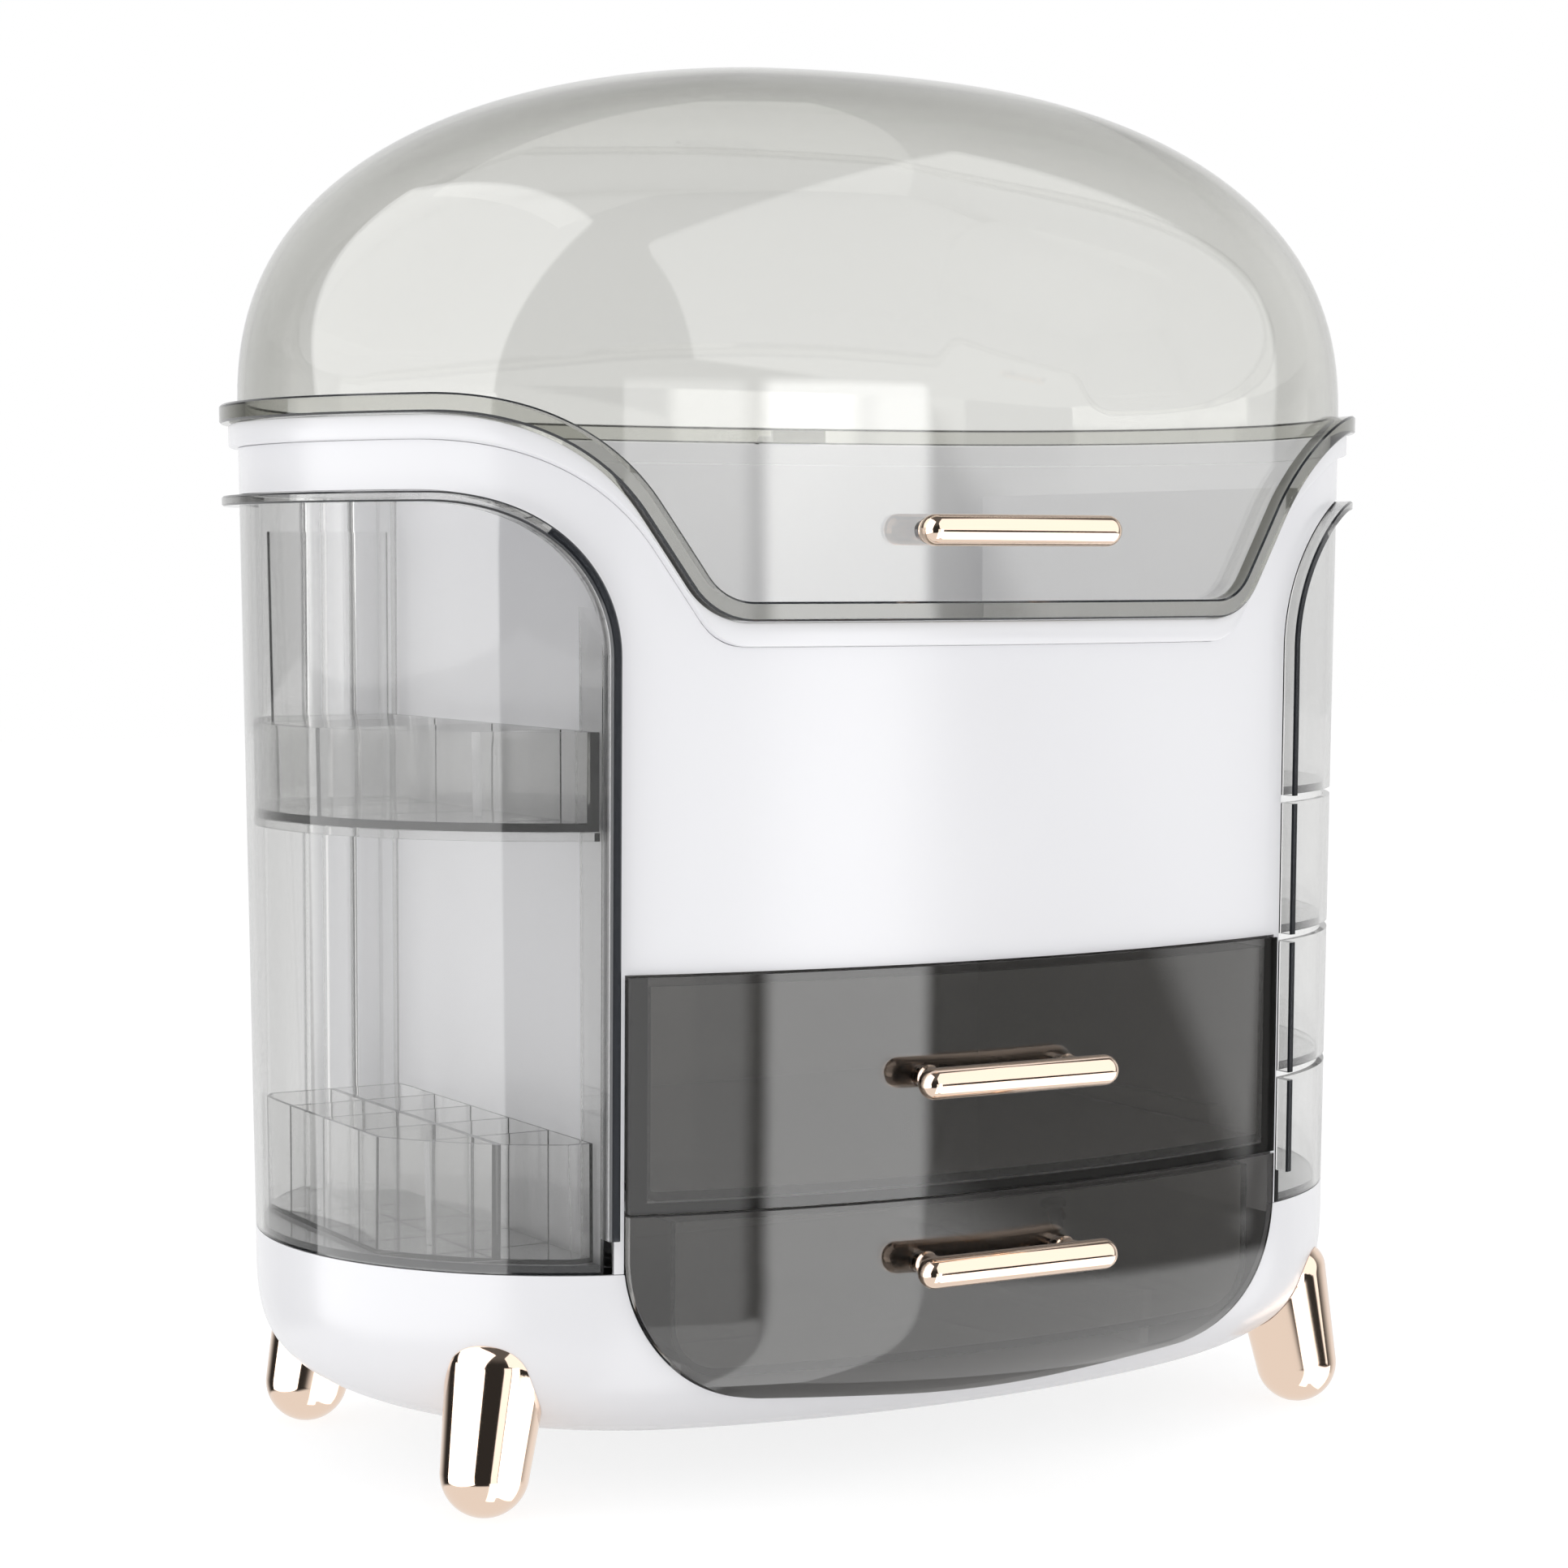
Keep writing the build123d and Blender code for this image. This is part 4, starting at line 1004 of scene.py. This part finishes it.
# painted shade: the two edge finishes colour the narrow edges of the clear mouldings nearly black
painted_shade_edge = shaded_edge("painted_shade_edge_styrene", "24262A", 0.15)
painted_shade_drawer_edge = shaded_edge("drawer_painted_shade_styrene", "1E1E1C", 0.15)
gold = plated("electroplated_rose_gold", "F5DCC8", 0.07)
steel = plated("bright_steel", "B0B0B2", 0.25)
coated = powder_coat()

FINISHES = {
    "white_moulding": [white],
    "hinge_plastic": [white],
    "clear_dome": [dome_smoke, painted_shade_edge],
    "clear_side": [side_smoke, painted_shade_edge, side_clear],
    "smoked_drawer": [drawer_smoke, painted_shade_drawer_edge],
    "rose_gold_plating": [gold],
    "steel": [steel],
}
SLOTS = {entry["node"]: entry["material_slot"] for entry in frame["record"]["subparts"]}
for node, slot in SLOTS.items():
    mesh = nodes[node].data
    mesh.materials.clear()
    mesh.materials.append(coated if node.endswith("swing_rod") else FINISHES[slot][0])


# Pieces

put("body_shell", body_shell(), "cabinet", bevel=0.5)
put("rim_collar", rim_collar(), "cabinet")
put("base_bowl", base_bowl(), "cabinet", bevel=0.4)
put("lid_dome", lid_dome(), "lid")
put("upper_drawer", upper_drawer(), "upper_drawer", bevel=0.4)
put("lower_drawer", lower_drawer(), "lower_drawer", bevel=0.4)
for node in ("left_cabinet_tray", "left_back_board", "lipstick_rack"):
    edged(node, "left_cabinet")

put("left_cabinet_shell", mirrored(merge([
    side_wall(SIDE_LOW, ARCH_TOP, True, True), side_floor(SIDE_LOW, SIDE_LOW + FLOOR_T),
    rod_sleeve(SIDE_LOW, SLEEVE_TOP), shelf_ledge(), blade(BLADE_FOOT, ARCH_TOP, True),
])), "left_cabinet", sharp=30)

upper_low = TOP_TRAY_LOW - TRAY_PITCH
middle_low = upper_low - TRAY_PITCH
for tray, low, blade_low, above in (
    ("lower", SIDE_LOW, BLADE_FOOT, middle_low), ("middle", middle_low, middle_low, upper_low),
    ("upper", upper_low, upper_low, TOP_TRAY_LOW),
):
    high = above - TRAY_GAP
    put(f"right_tray_{tray}", merge([
        side_wall(low, high, False, False), side_floor(low, low + FLOOR_T),
        rod_sleeve(low, high + SLEEVE_RISE), blade(blade_low, high, False),
    ]), f"right_tray_{tray}", sharp=30)
put("right_tray_top", merge([
    side_wall(TOP_TRAY_LOW, ARCH_TOP, True, True), inner_wall(TOP_TRAY_LOW, TOP_TRAY_LOW + TOP_TRAY_INNER),
    side_floor(TOP_TRAY_LOW, TOP_TRAY_LOW + FLOOR_T), rod_sleeve(TOP_TRAY_LOW, SLEEVE_TOP),
    blade(TOP_TRAY_LOW, ARCH_TOP, True),
]), "right_tray_top", sharp=30)

put("lid_handle", handle(LID_HANDLE_Z, 0.0), "lid")
put("upper_drawer_handle", handle(UPPER_HANDLE_Z, FACE_PROUD), "upper_drawer")
put("lower_drawer_handle", handle(LOWER_HANDLE_Z, FACE_PROUD), "lower_drawer")
for way, place in ((-1, "front"), (1, "rear")):
    for side, hand in ((-1, "left"), (1, "right")):
        put(f"foot_{place}_{hand}", foot(side, way), "cabinet")


# Studio

# Each soft box: azimuth, elevation, roll, left, right, bottom, top, strength, and where it is mirrored
SOFTBOXES = (
    (177, 34, -8, -0.9, 0.77, -1.25, 0.84, 2.0),            # the dome's left patch
    (177, -8, 0, -0.9, 0.77, -0.3, 0.2, 2.8),               # the band down the left cabinet
    (-21, 8, 14, -0.06, 2.4, -0.36, 1.38, 1.35),            # the dome's right patch
    (-38, -30, 0, -0.55, 0.55, -0.5, 0.33, 2.1),            # the right of the lower drawer
    (-78, 0, 0, -0.25, 0.09, -1.3, 0.1, 4.0),               # the stripe down both drawers
    (-92, 0, 0, -0.16, 0.16, -0.5, 0.1, 1.4),               # the left of the upper drawer
    (-92, -35, 0, -0.2, 0.2, -0.6, 0.38, 2.2),              # the left of the lower drawer
)
SOFT_EDGE = 0.04
AHEAD = 0.02                # least share of a direction that goes towards a soft box
REAR_AZIMUTH = 50
REAR_HALF = 75
REAR_SOFT = 45
REAR_LIGHT = 0.9
DIM = 0.03
GROUND = 0.88
GROUND_FULL = -0.4          # height of a direction, from -1 to 1, as for the three below
GROUND_END = -0.34
CEILING = 0.12
CEILING_START = 0.3
CEILING_FULL = 0.8
FILL = 0.9
PAPER_SIZE = 8
PAPER_GLOW = 0.8

# Each lamp: name, place, width, height, power, and whether clear walls let its light through
LAMPS = (
    ("softbox_top", (0, 0, 1.6), 1.3, 1.3, 6.0, True),
    ("softbox_left", (-1.5, 0.2, 0.5), 1.2, 1.0, 2.2, False),
    ("softbox_right", (0.9, -1.2, 0.6), 1.2, 1.0, 0.6, False),
)
LAMP_AIM = (0, 0, 0.2)
CAMERA_PLACE = (-0.5175, -0.8968, 0.2474)
CAMERA_DOWN = 3.503
CAMERA_RIGHT = 29.612
CAMERA_LENS = 81.78


def direction(azimuth, elevation):
    """Unit vector of an azimuth and elevation in degrees."""
    a, e = radians(azimuth), radians(elevation)
    return Vector((cos(a) * cos(e), sin(a) * cos(e), sin(e)))


def panel_light(tree, way, azimuth, elevation, roll, left, right, low, high, strength):
    """Light of a flat soft box in a direction of the room: the direction is cut with the panel's plane, and
    the panel shines where the cut lies between its four sides, given in parts of its distance."""
    normal = direction(azimuth, elevation)
    level = Vector((sin(radians(azimuth)), -cos(radians(azimuth)), 0))
    up = level.cross(normal)
    c, s = cos(radians(roll)), sin(radians(roll))
    ahead = add(tree, "VectorMath", {0: way, 1: normal}, operation="DOT_PRODUCT").outputs["Value"]
    light = add(tree, "Math", {0: ahead, 1: AHEAD}, operation="GREATER_THAN").outputs[0]
    for axis, first, last in ((level * c + up * s, left, right), (up * c - level * s, low, high)):
        along = add(tree, "VectorMath", {0: way, 1: axis}, operation="DOT_PRODUCT").outputs["Value"]
        cut = add(tree, "Math", {0: along, 1: ahead}, operation="DIVIDE").outputs[0]
        for side, inwards in ((first, SOFT_EDGE), (last, -SOFT_EDGE)):
            edge = add(
                tree, "MapRange", {"Value": cut}, interpolation_type="SMOOTHSTEP",
                From_Min=side, From_Max=side + inwards,
            ).outputs[0]
            light = add(tree, "Math", {0: light, 1: edge}, operation="MULTIPLY").outputs[0]
    return add(tree, "Math", {0: light, 1: strength}, operation="MULTIPLY").outputs[0]


def studio_room(tree, way):
    """What polished faces mirror in a direction of the room: dim in front, pale behind, under the ceiling
    and above the ground, with the soft boxes in it."""
    height = add(tree, "SeparateXYZ", {"Vector": way}).outputs["Z"]
    flat = add(tree, "VectorMath", {0: way, 1: (1, 1, 0)}, operation="MULTIPLY").outputs[0]
    level = add(tree, "VectorMath", {0: flat}, operation="NORMALIZE").outputs[0]
    behind = add(tree, "VectorMath", {0: level, 1: direction(REAR_AZIMUTH, 0)}, operation="DOT_PRODUCT")
    room = add(
        tree, "MapRange", {"Value": behind.outputs["Value"]}, interpolation_type="SMOOTHSTEP",
        From_Min=cos(radians(REAR_HALF)), From_Max=cos(radians(REAR_HALF - REAR_SOFT)),
        To_Min=DIM, To_Max=REAR_LIGHT,
    ).outputs[0]
    room = add(
        tree, "MapRange", {"Value": height, "To Min": room}, interpolation_type="SMOOTHSTEP",
        From_Min=CEILING_START, From_Max=CEILING_FULL, To_Max=CEILING,
    ).outputs[0]
    room = add(
        tree, "MapRange", {"Value": height, "To Max": room}, interpolation_type="SMOOTHSTEP",
        From_Min=GROUND_FULL, From_Max=GROUND_END, To_Min=GROUND,
    ).outputs[0]
    for panel in SOFTBOXES:
        room = add(tree, "Math", {0: room, 1: panel_light(tree, way, *panel)}, operation="MAXIMUM").outputs[0]
    return room


def studio_world():
    """Even white light on the object, white paper for the camera, also through clear walls, and the room
    for light that a polished face has mirrored and no matt face has spread."""
    world = bpy.data.worlds.new("studio")
    scene.world = world
    world.use_nodes = True
    tree = world.node_tree
    tree.nodes.clear()
    room = studio_room(tree, add(tree, "TexCoord").outputs["Generated"])
    ray = add(tree, "LightPath").outputs
    either = add(tree, "Math", {0: ray["Is Glossy Ray"], 1: ray["Is Transmission Ray"]}, operation="MAXIMUM")
    spread = add(tree, "Math", {0: ray["Diffuse Depth"], 1: 0.5}, operation="LESS_THAN")
    clean = add(tree, "Math", {0: either.outputs[0], 1: spread.outputs[0]}, operation="MULTIPLY").outputs[0]
    turned = add(tree, "Math", {0: ray["Glossy Depth"], 1: 0.5}, operation="GREATER_THAN").outputs[0]
    polished = add(tree, "Math", {0: clean, 1: turned}, operation="MULTIPLY").outputs[0]
    straight = add(tree, "Math", {0: clean, 1: polished}, operation="SUBTRACT").outputs[0]
    seen = add(tree, "Math", {0: ray["Is Camera Ray"], 1: straight}, operation="MAXIMUM").outputs[0]
    strength = add(tree, "MapRange", {"Value": polished, "To Max": room}, To_Min=FILL).outputs[0]
    strength = add(tree, "MapRange", {"Value": seen, "To Min": strength}, To_Max=1.0).outputs[0]
    light = add(tree, "Background", {"Strength": strength}, Color=(1, 1, 1, 1))
    add(tree, "OutputWorld", {"Surface": light.outputs[0]})


def paper_floor():
    """White paper under the object: it glows for the camera, also through clear walls, and is plain white
    for the light that it throws back."""
    bpy.ops.mesh.primitive_plane_add(size=PAPER_SIZE, location=(0, 0, 0))
    floor = bpy.context.object
    floor.name = "studio_floor"
    floor.visible_glossy = False
    material, tree, out = new_finish("white_paper")
    ray = add(tree, "LightPath").outputs
    sheet = add(tree, "BsdfDiffuse", Color=linear("F0F0F0"))
    shade = add(tree, "BsdfDiffuse", Color=linear("8C8C8C"))
    glow = add(tree, "Emission", Color=(1, 1, 1, 1), Strength=PAPER_GLOW)
    bright = add(tree, "AddShader", {0: shade.outputs[0], 1: glow.outputs[0]})
    seen = add(tree, "Math", {0: ray["Is Camera Ray"], 1: ray["Is Transmission Ray"]}, operation="MAXIMUM")
    mix = add(tree, "MixShader", {0: seen.outputs[0], 1: sheet.outputs[0], 2: bright.outputs[0]})
    tree.links.new(mix.outputs[0], out.inputs["Surface"])
    floor.data.materials.append(material)


def softbox(name, place, width, height, power, through):
    """Rectangular area lamp turned to the object."""
    light = bpy.data.lights.new(name, "AREA")
    light.shape = "RECTANGLE"
    light.size, light.size_y = width, height
    light.energy = power
    holder = bpy.data.objects.new(name, light)
    scene.collection.objects.link(holder)
    holder.location = place
    holder.visible_glossy = False
    holder.visible_transmission = through
    holder.rotation_euler = (Vector(LAMP_AIM) - Vector(place)).to_track_quat("-Z", "Y").to_euler()


studio_world()
paper_floor()
for lamp in LAMPS:
    softbox(*lamp)
scene.cycles.blur_glossy = 0
scene.cycles.max_bounces = 32               # clear walls stand behind clear walls
scene.cycles.transmission_bounces = 32

lens = bpy.data.cameras.new("camera")
lens.sensor_width = 36
lens.lens = CAMERA_LENS
lens.clip_start = 0.05
camera = bpy.data.objects.new("camera", lens)
scene.collection.objects.link(camera)
camera.location = CAMERA_PLACE
camera.rotation_euler = Euler((radians(90 - CAMERA_DOWN), 0, radians(-CAMERA_RIGHT)))
scene.camera = camera
